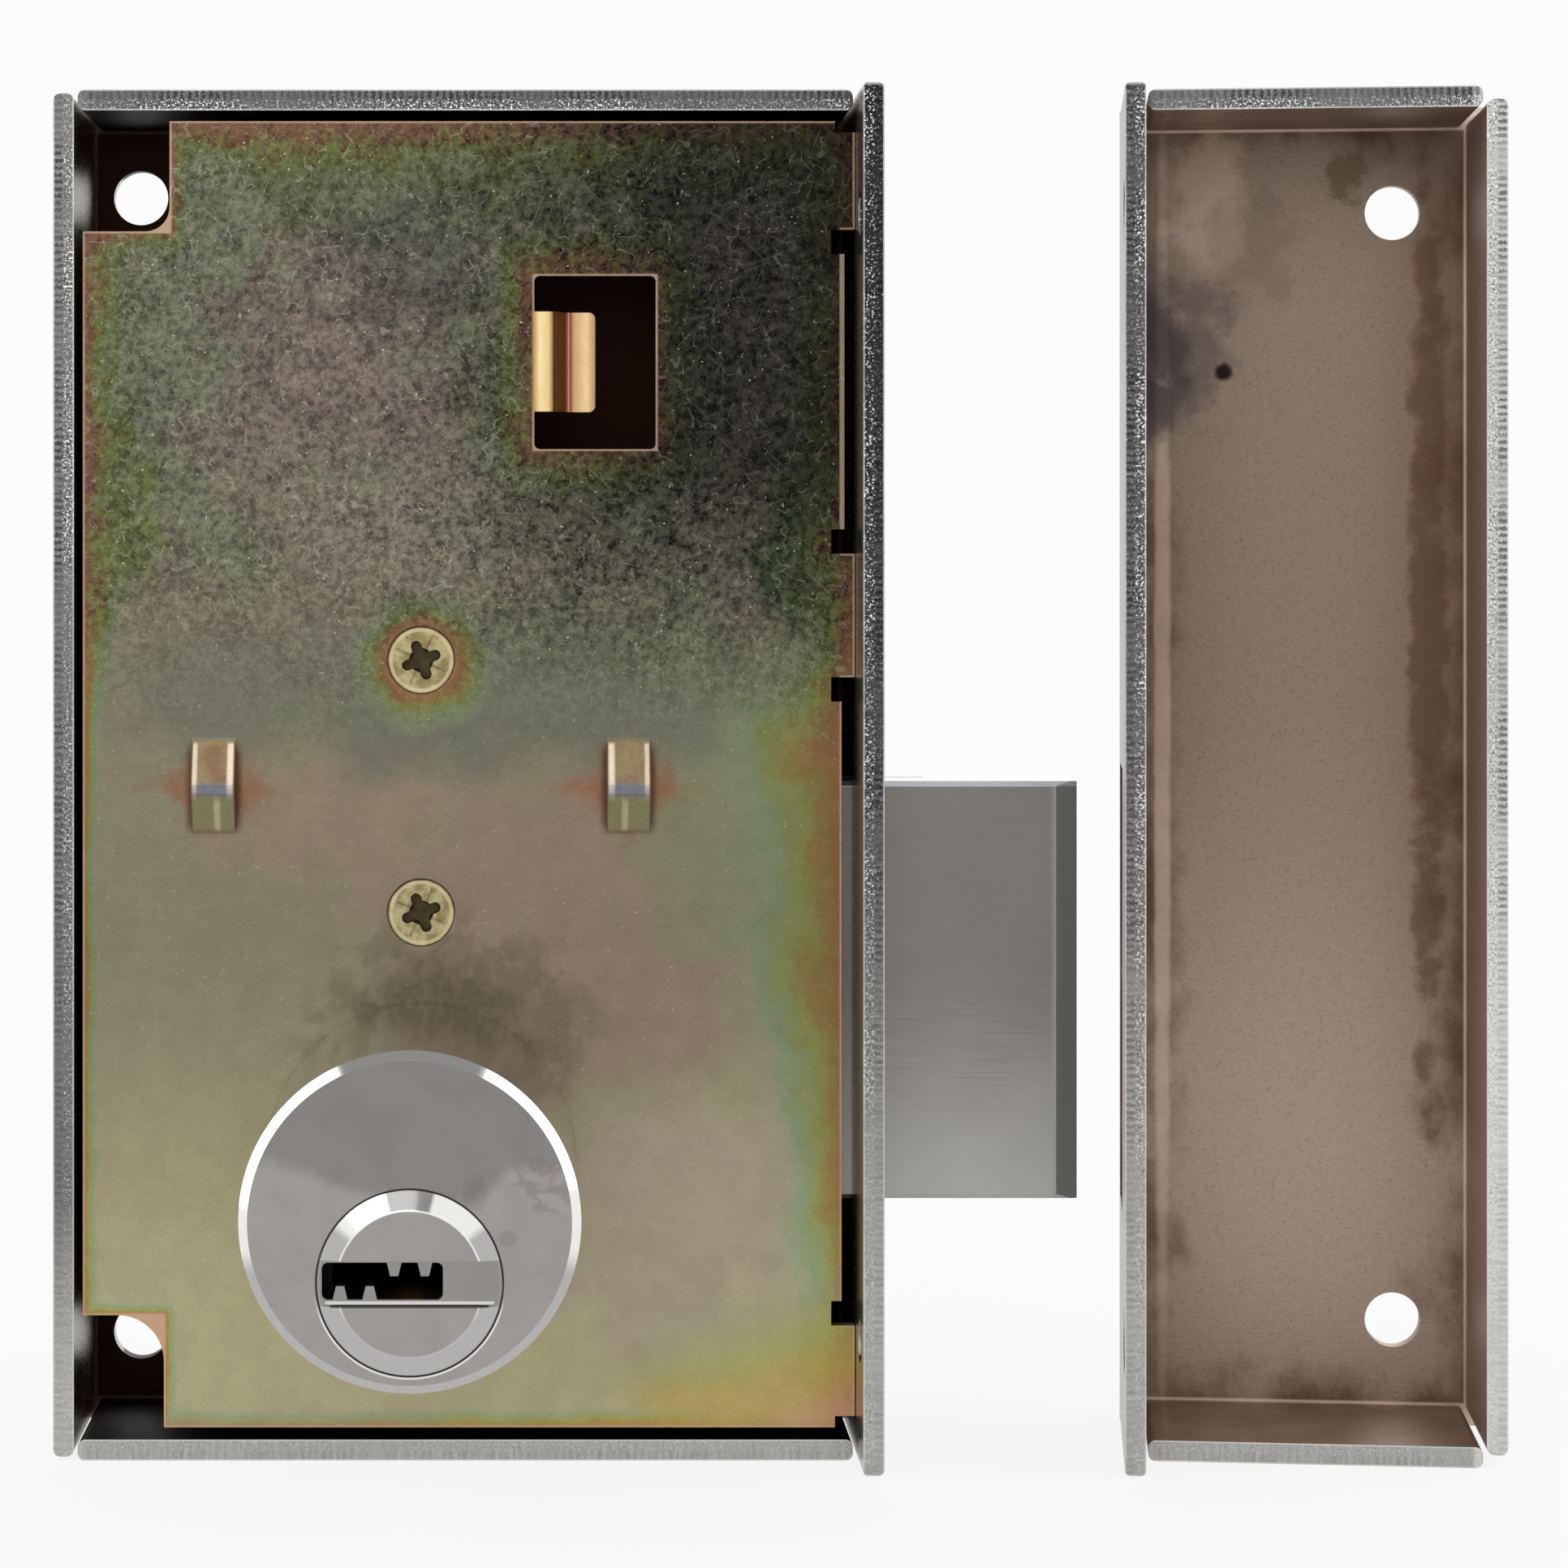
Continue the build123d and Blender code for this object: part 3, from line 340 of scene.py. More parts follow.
case_low, case_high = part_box("case_shell")
case_left, case_right = case_low.x / millimetre, case_high.x / millimetre
case_bottom, case_top = case_low.z / millimetre, case_high.z / millimetre
case_depth = case_high.y / millimetre
case_width = case_right - case_left
case_finish = folded_sheet(
    "plated_case_sheet",
    origin=(case_low.x, 0, 0),
    turn=0.0,
    width=case_width,
    low=case_bottom,
    high=case_top,
    depth=case_depth,
    lining_tones=(shade(46, 31, 23), shade(26, 17, 12), shade(90, 62, 47)),
    upward_shade=0.0,
    rim_tones=(shade(168, 166, 162), shade(97, 96, 94)),
    foot_light_reach=(30.0, 76.0),
    side_light_gains=(0.5, 0.0),
    lip_shade=((case_width - 3.2, case_width - 2.6), 0.8),
    wall_light_tone=shade(186, 178, 164),
    wall_light_shares=(0.85, 0.0),
    wall_matte=0.0,
)
dress(case_finish, "case_shell")

# Keeper box: the same folded sheet, open towards the door frame. Its warm, stained inside
# shows a blue-black smudge with a pit in it, a small green mark near the upper hole and a band
# of rust along the far wall. The light that the fold at the lip catches and a pale upper corner
# are painted highlights, and painted shade darkens the inside towards the top and the far side.
keeper_turn = math.radians(6.5)
keeper_origin = (0.0743, 0, 0)
keeper_width = 40.0
keeper_finish = folded_sheet(
    "plated_keeper_sheet",
    origin=keeper_origin,
    turn=-keeper_turn,
    width=keeper_width,
    low=case_bottom,
    high=case_top,
    depth=case_depth,
    lining_tones=(shade(168, 149, 133), shade(104, 79, 60), shade(228, 208, 192)),
    upward_shade=0.33,
    rim_tones=(shade(166, 164, 160), shade(108, 107, 105)),
    foot_light_reach=(80.0, 80.0),
    side_light_gains=(0.1, 2.2),
    lip_shade=((3.2, 2.6), 0.45),
    wall_light_tone=shade(172, 146, 128),
    wall_light_shares=(0.85, 0.5),
    wall_matte=0.8,
)
smudge_place = (4.5, 86.5)
smudge_reach = (8.5, 11.5)
core_place = (3.5, 85.5)
core_reach = (4.5, 7.5)
rust_place = (33.7, 56.0)
rust_reach = (2.2, 52.0)
# Painted light: a pale upper corner and a highlight along the fold at the lip.
corner_light_place = (9.5, 103.0)
corner_light_reach = (5.0, 9.0)
fold_light_place = (4.7, 42.0)
fold_light_reach = (1.0, 78.0)
pit_place = (11.4, 84.2)
pit_radius = 1.15
mark_place = (25.0, 105.4)
mark_reach = (2.2, 3.6)
streak_place = (14.5, 98.5)
streak_reach = (6.0, 6.5)


def blot(finish, x, z, place, reach, ragged):
    """1 inside a soft oval and 0 outside it, with a ragged edge."""
    across = (x - place[0]) / reach[0]
    up = (z - place[1]) / reach[1]
    return (across * across + up * up + ragged).rise(1.25, 0.25)


keeper_spot = keeper_finish.place()
ragged = keeper_finish.noise(keeper_spot, (0.22, 0.22, 0.22), 5.0, roughness=0.6) * 2.4 - 1.2
kept = (keeper_finish, keeper_finish.across, keeper_finish.up)
on_lining = keeper_finish.inside * (1 - keeper_finish.rim)
# The keeper's colour gathers real stains and the painted highlights of the pale corner and the
# fold.
stained = keeper_finish.colour
for place, reach, edge, colour, share in (
    (corner_light_place, corner_light_reach, 1.2, shade(204, 182, 164), 0.4),
    (fold_light_place, fold_light_reach, 0.5, shade(208, 186, 168), 0.5),
    (streak_place, streak_reach, 1.6, shade(104, 88, 76), 0.35),
    (rust_place, rust_reach, 1.7, shade(92, 66, 50), 0.65),
    (smudge_place, smudge_reach, 1.6, shade(86, 76, 76), 0.6),
    (core_place, core_reach, 1.4, shade(60, 54, 60), 0.6),
    (mark_place, mark_reach, 2.2, shade(92, 80, 60), 0.7),
    (pit_place, (pit_radius, pit_radius), 0.8, shade(22, 14, 12), 0.95),
):
    spot = blot(*kept, place, reach, ragged * edge) * on_lining
    stained = keeper_finish.mix(spot * share, stained, colour)
keeper_finish.feed(keeper_finish.surface, {"Base Color": stained})
dress(keeper_finish, "keeper_box")

# Mechanism plate: pressed from steel sheet and zinc plated with a yellow chromate film. The
# film is thin at cut edges and holes and shows the colours of its thickness, orange to green.
# The upper half is mottled and full of hairline scratches and is painted darker as shade, most
# at the upper right; the lower half is calm and painted lighter, a reflection of the floor. Cut
# edges, the bridges and the bent tongue carry painted light and shade, and a painted shadow of
# the cylinder barrel lies on the plate above the cylinder.
plate_low, plate_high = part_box("mechanism_plate")
plate_left, plate_right = plate_low.x / millimetre, plate_high.x / millimetre
plate_bottom, plate_top = plate_low.z / millimetre, plate_high.z / millimetre
plate_face = 1.6
top_notch = (9.2, 11.7)
bottom_notch = (8.6, 11.9)
window_low, window_high = (12.0, 75.2), (24.9, 93.6)
tongue_low, tongue_high = (11.9, 79.1), (18.7, 89.9)
recesses = ((64.1, 98.5), (-17.8, 51.0))
recess_depth = 1.4
screw_places = ((0.0, 26.0), (0.0, 52.8))
screw_edge = 3.6
bridge_places = ((-22.0, 39.2), (22.0, 39.2))
film = Finish("yellow_chromate_film", {"Metallic": 0.85})
film_place = film.place()
film_x, film_y, film_z = film.split(film_place)


def box_gap(x, z, low, high):
    """How far a place lies outside an upright box."""
    across = ((x - (low[0] + high[0]) / 2).size() - (high[0] - low[0]) / 2).at_least(0.0)
    up = ((z - (low[1] + high[1]) / 2).size() - (high[1] - low[1]) / 2).at_least(0.0)
    return (across * across + up * up).math("SQRT")


def ring_gap(x, z, place, radius):
    """How far a place lies from a circle, outwards."""
    across, up = x - place[0], z - place[1]
    return (across * across + up * up).math("SQRT") - radius


slow = film.noise(film_place, (0.05, 0.05, 0.05), 2.0)
drift = film.noise(film_place, (0.1, 0.1, 0.1), 4.0, roughness=0.55)
clouding = film.noise(film_place, (0.35, 0.35, 0.35), 3.0).rise(0.35, 0.65)
mottle = film.noise(film_place, (1.15, 1.15, 1.15), 3.0, roughness=0.6).rise(0.33, 0.67)
grit = film.noise(film_place, (3.0, 3.0, 3.0), 2.0, roughness=0.7).rise(0.3, 0.7)
sway = (drift - 0.5) * 13.0
# The upper half has more mottle and hairline scratches and is painted darker as shade; the lower
# half is painted lighter.
pale_end, dark_start = 41.0, 64.0
upper = (film_z + sway + film_x * 0.05).rise(pale_end, dark_start)

left_gap = film_x - plate_left
right_gap = plate_right - film_x
foot_gap = film_z - plate_bottom
head_gap = plate_top - film_z
beyond = 5.0
corner_low = (plate_left - beyond, plate_top - top_notch[1])
corner_high = (plate_left + top_notch[0], plate_top + beyond)
heel_low = (plate_left - beyond, plate_bottom - beyond)
heel_high = (plate_left + bottom_notch[0], plate_bottom + bottom_notch[1])
notch_gap = box_gap(film_x, film_z, corner_low, corner_high)
notch_gap = notch_gap.at_most(box_gap(film_x, film_z, heel_low, heel_high))
window_gap = box_gap(film_x, film_z, window_low, window_high)
cut_gap = left_gap.at_most(right_gap).at_most(foot_gap).at_most(head_gap)
cut_gap = cut_gap.at_most(notch_gap).at_most(window_gap)
for low, high in recesses:
    ends = ((plate_right - recess_depth, low), (plate_right + beyond, high))
    cut_gap = cut_gap.at_most(box_gap(film_x, film_z, *ends))

right_reach = 7.5 + 6.0 * film_z.rise(58.0, 46.0) * film_z.rise(2.0, 20.0)
left_reach = 1.6 + 4.0 * upper
notch_reach = 1.4 + 2.2 * upper
head_reach, foot_reach, window_reach, screw_reach = 8.0, 1.7, 5.6, 3.8
screw_film_gap = ring_gap(film_x, film_z, screw_places[1], screw_edge)
film_share = (left_gap / left_reach).at_most(right_gap / right_reach)
film_share = film_share.at_most(head_gap / head_reach).at_most(foot_gap / foot_reach)
film_share = film_share.at_most(notch_gap / notch_reach).at_most(window_gap / window_reach)
film_share = film_share.at_most(screw_film_gap / screw_reach)
film_share = film_share + (drift - 0.5) * 1.1 * film_share.rise(0.02, 0.4)
film_share = film_share + (mottle - 0.5) * (0.06 + 0.2 * upper)
film_share = film_share + (clouding - 0.5) * (0.05 + 0.22 * upper)

# Painted light: the lower body grows lighter towards the bottom, a reflection of the floor, and
# so do the edge colours there.
lower_light = film_z.rise(25.0, -20.0)
body_low = film.mix(lower_light, shade(128, 122, 99), shade(171, 164, 128))
for place, reach, colour, share in (
    ((17.0, 21.0), (24.0, 22.0), shade(136, 116, 102), 0.7),
    ((27.0, -6.0), (21.0, 16.0), shade(160, 147, 130), 0.75),
    ((-10.0, 37.0), (16.0, 8.0), shade(140, 120, 104), 0.6),
    ((31.0, 34.0), (9.0, 13.0), shade(116, 124, 90), 0.6),
    ((4.0, 49.0), (44.0, 9.0), shade(103, 105, 92), 0.8),
):
    wash = blot(film, film_x, film_z, place, reach, (drift - 0.5) * 2.2 + (slow - 0.5))
    body_low = film.mix(wash * share, body_low, colour)
body_high = film.mix(slow.rise(0.4, 0.6), shade(110, 104, 90), shade(102, 105, 86))
for place, reach, colour, share in (
    ((-8.0, 84.0), (16.0, 17.0), shade(112, 98, 90), 0.8),
    ((-2.0, 67.0), (17.0, 8.0), shade(124, 116, 104), 0.6),
    ((4.0, 103.0), (24.0, 7.0), shade(80, 86, 60), 0.75),
    ((-1.0, 95.0), (10.0, 8.0), shade(78, 77, 72), 0.65),
    ((7.0, 84.0), (4.5, 10.0), shade(84, 87, 66), 0.6),
    ((16.0, 68.0), (9.0, 6.0), shade(84, 84, 64), 0.5),
    ((43.0, 68.0), (7.5, 15.0), shade(58, 82, 44), 0.7),
    ((-34.0, 69.0), (7.0, 9.0), shade(94, 106, 46), 0.6),
):
    wash = blot(film, film_x, film_z, place, reach, (drift - 0.5) * 2.6 + (clouding - 0.5) * 0.8)
    body_high = film.mix(wash * share, body_high, colour)
edge_low_stops = [
    (0.0, shade(150, 108, 78)), (0.13, shade(132, 98, 62)), (0.3, shade(126, 110, 62)),
    (0.45, shade(122, 123, 70)), (0.7, shade(114, 126, 94)), (1.0, shade(126, 128, 104)),
]
edge_high_stops = [
    (0.0, shade(128, 94, 76)), (0.1, shade(114, 84, 62)), (0.24, shade(108, 91, 60)),
    (0.42, shade(98, 101, 58)), (0.75, shade(86, 96, 62)), (1.0, shade(94, 98, 77)),
]
edge_low = film.node("ValToRGB", {"stops": edge_low_stops}, {0: film_share})
edge_low = film.tint(edge_low, 1.0 + 0.7 * lower_light)
edge_high = film.node("ValToRGB", {"stops": edge_high_stops}, {0: film_share})
low_colour = film.mix(film_share.rise(0.7, 1.2), edge_low, body_low)
high_colour = film.mix((film_share + (grit - 0.5) * 0.4).rise(0.4, 1.15), edge_high, body_high)
film_colour = film.mix(upper, low_colour, high_colour)

rainbow_stops = [
    (0.0, shade(192, 148, 112)), (0.2, shade(182, 154, 86)), (0.42, shade(176, 156, 84)),
    (0.66, shade(160, 160, 96)), (0.85, shade(160, 154, 112)), (1.0, shade(158, 152, 126)),
]
rainbow_share = (foot_gap - (film_x - 38.0) * 0.3 + sway * 0.45) / 14.0
rainbow = film.node("ValToRGB", {"stops": rainbow_stops}, {0: rainbow_share})
glow_place, glow_reach = (41.0, -25.0), (19.0, 13.0)
corner_glow = blot(film, film_x, film_z, glow_place, glow_reach, (drift - 0.5) * 1.2)
foot_glow = foot_gap.rise(2.5, 0.6) * 0.5
film_colour = film.mix(corner_glow.at_least(foot_glow) * 0.8, film_colour, rainbow)

for bridge_x, bridge_z in bridge_places:
    leaf = (film_x - bridge_x).size() / 9.0 + (film_z - bridge_z).size() / 6.0
    blush = (leaf + (drift - 0.5) * 0.9 + (clouding - 0.5) * 0.3).rise(1.05, 0.3)
    film_colour = film.mix(blush * 0.75, film_colour, shade(140, 94, 66))

hairlines = None
for number, turn in enumerate((0.3, 1.1, 1.9, 2.7)):
    bend = film.noise(film_place, (0.24, 0.24, 0.24), 2.0, turn=(turn, number * 0.7, 0.4 * turn))
    breaks = film.noise(film_place, (0.5, 0.5, 0.5), 1.0, turn=(0.5 * turn, number * 0.9, turn))
    line = (bend - 0.5).size().rise(0.009, 0.002) * breaks.rise(0.54, 0.62)
    hairlines = line if hairlines is None else hairlines.at_least(line)
for turn in (0.35, 1.2, 2.4):
    line = film.noise(film_place, (0.16, 0.16, 5.0), 1.0, turn=(0, turn, 0)).rise(0.69, 0.77)
    hairlines = hairlines.at_least(line * 0.6)
sparkle = film.noise(film_place, (2.6, 2.6, 2.6), 1.0, turn=(0.7, 0.3, 0.2)).rise(0.72, 0.79)
# Painted shade darkens the upper right of the plate.
upper_right_shade = film_x.rise(-8.0, 32.0) * film_z.rise(44.0, 77.0)
unrest = upper * (1.0 + 1.1 * upper_right_shade)
film_tone = 1.0 - 0.1 * upper + (mottle - 0.5) * (0.05 + 0.62 * unrest)
film_tone = film_tone + (grit - 0.5) * (0.06 + 0.34 * unrest)
film_tone = (film_tone + (clouding - 0.5) * (0.07 + 0.2 * unrest)) * (1.0 - 0.86 * upper_right_shade)
film_colour = film.tint(film_colour, film_tone)
hairlines = hairlines * (0.07 + 0.26 * upper) * (1.0 - 0.62 * upper_right_shade)
film_colour = film.mix(hairlines, film_colour, shade(178, 176, 158))
sparkle = sparkle * (0.25 + 0.4 * upper) * (1.0 - 0.35 * upper_right_shade)
film_colour = film.mix(sparkle, film_colour, shade(212, 210, 174))

# A painted shadow of the cylinder barrel on the plate above it, together with a dark smudge.
for place, reach, share in (((3.0, 13.5), (15.0, 12.0), 0.4), ((1.5, 12.5), (10.0, 8.0), 0.5)):
    barrel_shadow_smear = blot(film, film_x, film_z, place, reach, (drift - 0.5) * 1.1 + (clouding - 0.5) * 0.5)
    film_colour = film.mix(barrel_shadow_smear * share * (0.75 + 0.35 * mottle), film_colour, shade(74, 69, 50))

# The raised bridges: their slopes take the film's colours with painted light and shade by the way
# they face, painted highlights along their sides, middle and top, and painted shade next to them.
bridge_offset, bridge_ridge = bridge_places[1]
raised = film_y.rise(plate_face - 0.05, plate_face - 0.3)
past_middle = film_x.size() - bridge_offset
from_middle = past_middle.size()
above_ridge = film_z - bridge_ridge
upper_slope_film_and_light = film.mix(clouding, shade(124, 96, 74), shade(134, 120, 88))
slope_film_and_light = film.mix(above_ridge.rise(0.2, 1.0), shade(112, 115, 121), upper_slope_film_and_light)
slope_film_and_light = film.mix(above_ridge.rise(-0.4, -1.1), slope_film_and_light, shade(134, 128, 94))
slope_film_and_light = film.mix(above_ridge.rise(4.4, 5.1) * 0.7, slope_film_and_light, shade(150, 122, 70))
near_side_highlight = past_middle.rise(-1.3, -1.7) * from_middle.rise(2.25, 2.0)
far_side_highlight = past_middle.rise(1.55, 1.85) * from_middle.rise(2.3, 2.1)
bridge_side_highlight = (near_side_highlight + far_side_highlight * 0.8) * above_ridge.rise(-1.6, 1.2) * above_ridge.rise(5.1, 4.5)
slope_film_and_light = film.mix(bridge_side_highlight * 0.75, slope_film_and_light, shade(236, 220, 196))
keel_highlight = above_ridge.rise(-0.6, -1.6) * (past_middle + 0.4).size().rise(0.5, 0.15)
slope_film_and_light = film.mix(keel_highlight * 0.45, slope_film_and_light, shade(206, 200, 158))
slope_film_and_light = film.mix(from_middle.rise(2.1, 2.3) * 0.75, slope_film_and_light, shade(78, 56, 34))
slope_film_and_light = film.tint(slope_film_and_light, 0.9 + 0.12 * mottle + 0.1 * grit)
film_colour = film.mix(raised, film_colour, slope_film_and_light)
shade_beside_bridge = from_middle.rise(3.3, 2.4) * above_ridge.size().rise(5.4, 3.4) * (1 - raised)
film_colour = film.mix(shade_beside_bridge * 0.7, film_colour, shade(70, 50, 32))

tongue_lines = film.noise(film_place, (1.6, 1.6, 0.3), 4.0, roughness=0.65)
tongue_gap = box_gap(film_x, film_z, tongue_low, tongue_high)
on_tongue = tongue_gap.rise(0.15, 0.0)
# The bent tongue's bands are painted light and shade across its bend, on the yellow film.
tongue_light_stops = [
    (0.0, shade(170, 134, 74)), (0.1, shade(236, 214, 160)), (0.24, shade(224, 196, 138)),
    (0.31, shade(132, 92, 46)), (0.5, shade(118, 74, 40)), (0.54, shade(216, 150, 136)),
    (0.58, shade(128, 60, 40)), (0.64, shade(200, 160, 112)), (0.84, shade(230, 200, 156)),
    (1.0, shade(150, 108, 60)),
]
tongue_share = (film_x - tongue_low[0]) / (tongue_high[0] - tongue_low[0])
tongue_lit_colour = film.node("ValToRGB", {"stops": tongue_light_stops}, {0: tongue_share})
tongue_lit_colour = film.tint(tongue_lit_colour, 0.86 + 0.28 * tongue_lines)
film_colour = film.mix(on_tongue, film_colour, tongue_lit_colour)

# Painted highlight along the plate's cut edges.
cut_edge_highlight = cut_gap.rise(0.3, 0.1) * (1 - on_tongue)
film_colour = film.mix(cut_edge_highlight * (0.3 + 0.4 * drift), film_colour, shade(206, 176, 148))
film.feed(film.surface, {
    "Base Color": film_colour,
    "Roughness": 0.36 + 0.1 * mottle + 0.06 * upper,
    "Normal": film.bump(mottle * 0.3 + grit * 0.3, 0.02),
})
dress(film, "mechanism_plate")

# Plate screws: countersunk steel screws with the same yellow film as the plate. Their heads
# are turned, so fine rings run round them. The cross recess is painted dark as shade, a dark
# joint runs round each head, and the head's rim carries a painted highlight.
screw_film = Finish("yellow_screw_film", {"Metallic": 0.9})
screw_spot = screw_film.place()
screw_x, screw_y, screw_z = screw_film.split(screw_spot)
screw_rings = [ring_gap(screw_x, screw_z, place, 0.0) for place in screw_places]
screw_radius = screw_rings[0].at_most(screw_rings[1])
screw_face = 1.7
screw_polar = screw_film.node("CombineXYZ", {}, {0: screw_radius})
turned_lines = screw_film.noise(screw_polar, (7.0, 1, 1), 2.0)
screw_cloud = screw_film.noise(screw_spot, (0.9, 0.9, 0.9), 4.0)
pale_film = screw_cloud.rise(0.36, 0.62)
screw_colour = screw_film.mix(pale_film, shade(136, 124, 84), shade(176, 164, 122))
screw_colour = screw_film.tint(screw_colour, 0.84 + 0.32 * turned_lines)
# Painted highlight on the rim of each head.
head_radius = 3.5
head_rim_highlight = screw_radius.rise(head_radius - 0.55, head_radius - 0.4)
head_rim_highlight = head_rim_highlight * screw_radius.rise(head_radius - 0.05, head_radius - 0.2)
screw_colour = screw_film.mix(head_rim_highlight * 0.55, screw_colour, shade(214, 198, 156))
# Painted shade in the cross recess, and a dark joint round each head.
outline = screw_radius.rise(head_radius - 0.08, head_radius)
recess_shade_and_joint = screw_y.rise(screw_face + 0.06, screw_face + 0.3).at_least(outline)
screw_colour = screw_film.mix(recess_shade_and_joint * 0.88, screw_colour, shade(42, 32, 18))
screw_film.feed(screw_film.surface, {
    "Base Color": screw_colour,
    "Roughness": 0.3 + 0.2 * screw_cloud,
    "Normal": screw_film.bump(turned_lines + screw_cloud * 0.5, 0.03),
})
dress(screw_film, "plate_screws")

# Deadbolt: a solid steel block, ground lengthways and nickel plated. The grinding leaves
# level streaks. Painted shade darkens it towards the top, the nose's bevel takes an even painted
# tone for the light on it, and the upper edge carries a painted highlight.
bolt_low, bolt_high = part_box("deadbolt_head")
bolt_bottom, bolt_top = bolt_low.z / millimetre, bolt_high.z / millimetre
bolt_finish = Finish("ground_bolt", {"Metallic": 1.0})
bolt_spot = bolt_finish.place()
bolt_x, bolt_y, bolt_z = bolt_finish.split(bolt_spot)
bolt_streaks = bolt_finish.noise(bolt_spot, (0.09, 5.0, 5.0), 4.0, roughness=0.6)
bolt_fine = bolt_finish.noise(bolt_spot, (0.4, 9.0, 9.0), 2.0)
bolt_cloud = bolt_finish.noise(bolt_spot, (0.09, 0.09, 0.09), 3.0)
# Painted shade: darker towards the top, lighter below.
bolt_top_shade = bolt_z.rise(bolt_bottom - 2.0, bolt_bottom + 26.0)
bolt_colour = bolt_finish.mix(bolt_top_shade, shade(166, 164, 161), shade(126, 122, 117))
rub_low, rub_high = bolt_bottom + 8.0, bolt_bottom + 30.0
rub_band = bolt_z.rise(rub_low, rub_low + 6.0) * bolt_z.rise(rub_high, rub_high - 12.0)
bolt_tone = 0.97 + (bolt_streaks - 0.5) * (0.12 + 0.45 * rub_band)
bolt_tone = bolt_tone + (bolt_cloud - 0.5) * 0.2 + (bolt_fine - 0.5) * 0.08
bolt_colour = bolt_finish.tint(bolt_colour, bolt_tone)
# The nose's bevel gets an even painted tone for the light on it.
bevel_start, bevel_back = 67.3, 8.2
nose_bevel_light = bolt_x.rise(bevel_start, bevel_start + 0.8)
nose_bevel_light = nose_bevel_light * bolt_y.rise(bevel_back, bevel_back - 0.5)
bolt_colour = bolt_finish.mix(nose_bevel_light * 0.9, bolt_colour, shade(152, 151, 150))
# Painted highlight along the upper edge.
upper_edge_highlight = bolt_z.rise(bolt_top - 0.62, bolt_top - 0.5)
bolt_colour = bolt_finish.mix(upper_edge_highlight * 0.8, bolt_colour, shade(206, 208, 212))
bolt_finish.feed(bolt_finish.surface, {
    "Base Color": bolt_colour,
    "Roughness": 0.26 + 0.16 * bolt_streaks,
    "Normal": bolt_finish.bump(bolt_streaks + bolt_fine * 0.5, 0.02),
})
dress(bolt_finish, "deadbolt_head")


# Working parts behind the plate: bolt tail, rivets, posts, pinion, detent, spacers, cylinder
# screws and tailpiece, and the turn's base on the room side. Plain bright steel, pressed or
# turned, with a trace of oil on it.
def bright_steel(name, tone, stretch, oil):
    """Bare machined steel with tool marks along one way and brownish oil in places."""
    finish = Finish(name, {"Metallic": 1.0})
    place = finish.place()
    marks = finish.noise(place, stretch, 3.0)
    cloud = finish.noise(place, (0.25, 0.25, 0.25), 4.0)
    pores = finish.noise(place, (3.0, 3.0, 3.0), 3.0)
    colour = finish.mix(cloud.rise(0.42, 0.66) * oil, tone, shade(128, 108, 82))
    colour = finish.tint(colour, 0.8 + 0.24 * marks + 0.16 * pores)
    finish.feed(finish.surface, {
        "Base Color": colour,
        "Roughness": 0.22 + 0.18 * cloud + 0.1 * marks,
        "Normal": finish.bump(marks + pores * 0.4, 0.03),
    })
    return finish


pressed_steel = bright_steel("pressed_steel", shade(174, 172, 168), (0.15, 4.0, 4.0), 0.5)
dress(pressed_steel, "bolt_tail", "detent_bracket", "turn_base", "plug_tailpiece")
turned_steel = bright_steel("turned_steel", shade(182, 181, 178), (0.5, 6.0, 0.5), 0.35)
dress(turned_steel, "bolt_rivets", "plate_posts", "drive_pinion")
dress(turned_steel, "cylinder_spacers", "cylinder_screws")
plunger_steel = bright_steel("plunger_steel", shade(186, 184, 180), (0.5, 0.5, 6.0), 0.3)
dress(plunger_steel, "detent_plunger")

# Pinion bush, key pins and drivers: turned from brass rod, bright where they slide, with
# fine rings from the tool and a darker, redder tarnish in patches.
brass_tone = shade(240, 176, 84)
tarnish_tone = shade(224, 132, 52)


def turned_brass(name, stretch):
    """Brass with rings round the bar it was turned from."""
    finish = Finish(name, {"Metallic": 1.0})
    place = finish.place()
    rings = finish.noise(place, stretch, 2.0)
    cloud = finish.noise(place, (0.8, 0.8, 0.8), 4.0)
    colour = finish.mix(cloud.rise(0.4, 0.64), brass_tone, tarnish_tone)
    finish.feed(finish.surface, {
        "Base Color": finish.tint(colour, 0.82 + 0.32 * rings),
        "Roughness": 0.2 + 0.2 * cloud,
        "Normal": finish.bump(rings, 0.02),
    })
    finish.colour = colour
    return finish


bush_brass = turned_brass("bush_brass", (0.4, 7.0, 0.4))
dress(bush_brass, "pinion_bush")
pin_brass = turned_brass("pin_brass", (0.4, 0.4, 8.0))
pin_numbers = range(1, 6)
dress(pin_brass, *[f"driver_pin_{number}" for number in pin_numbers])
dress(pin_brass, *[f"key_pin_{number}" for number in pin_numbers[1:]])

# First key pin: the same brass, but its nose hangs in the mouth of the keyway, where the
# polished walls throw light in; a painted glow, an emission, stands in for that light, so it
# shows orange between the wards.
nose_top, nose_tip = -3.0, -3.9
first_pin_brass = turned_brass("first_pin_brass", (0.4, 0.4, 8.0))
_, _, pin_z = first_pin_brass.split(first_pin_brass.place())
nose_light = first_pin_brass.tint(first_pin_brass.colour, 0.6 * pin_z.rise(nose_top, nose_tip))
nose_glow = {"Emission Color": nose_light, "Emission Strength": 1.0}
first_pin_brass.feed(first_pin_brass.surface, nose_glow)
dress(first_pin_brass, "key_pin_1")

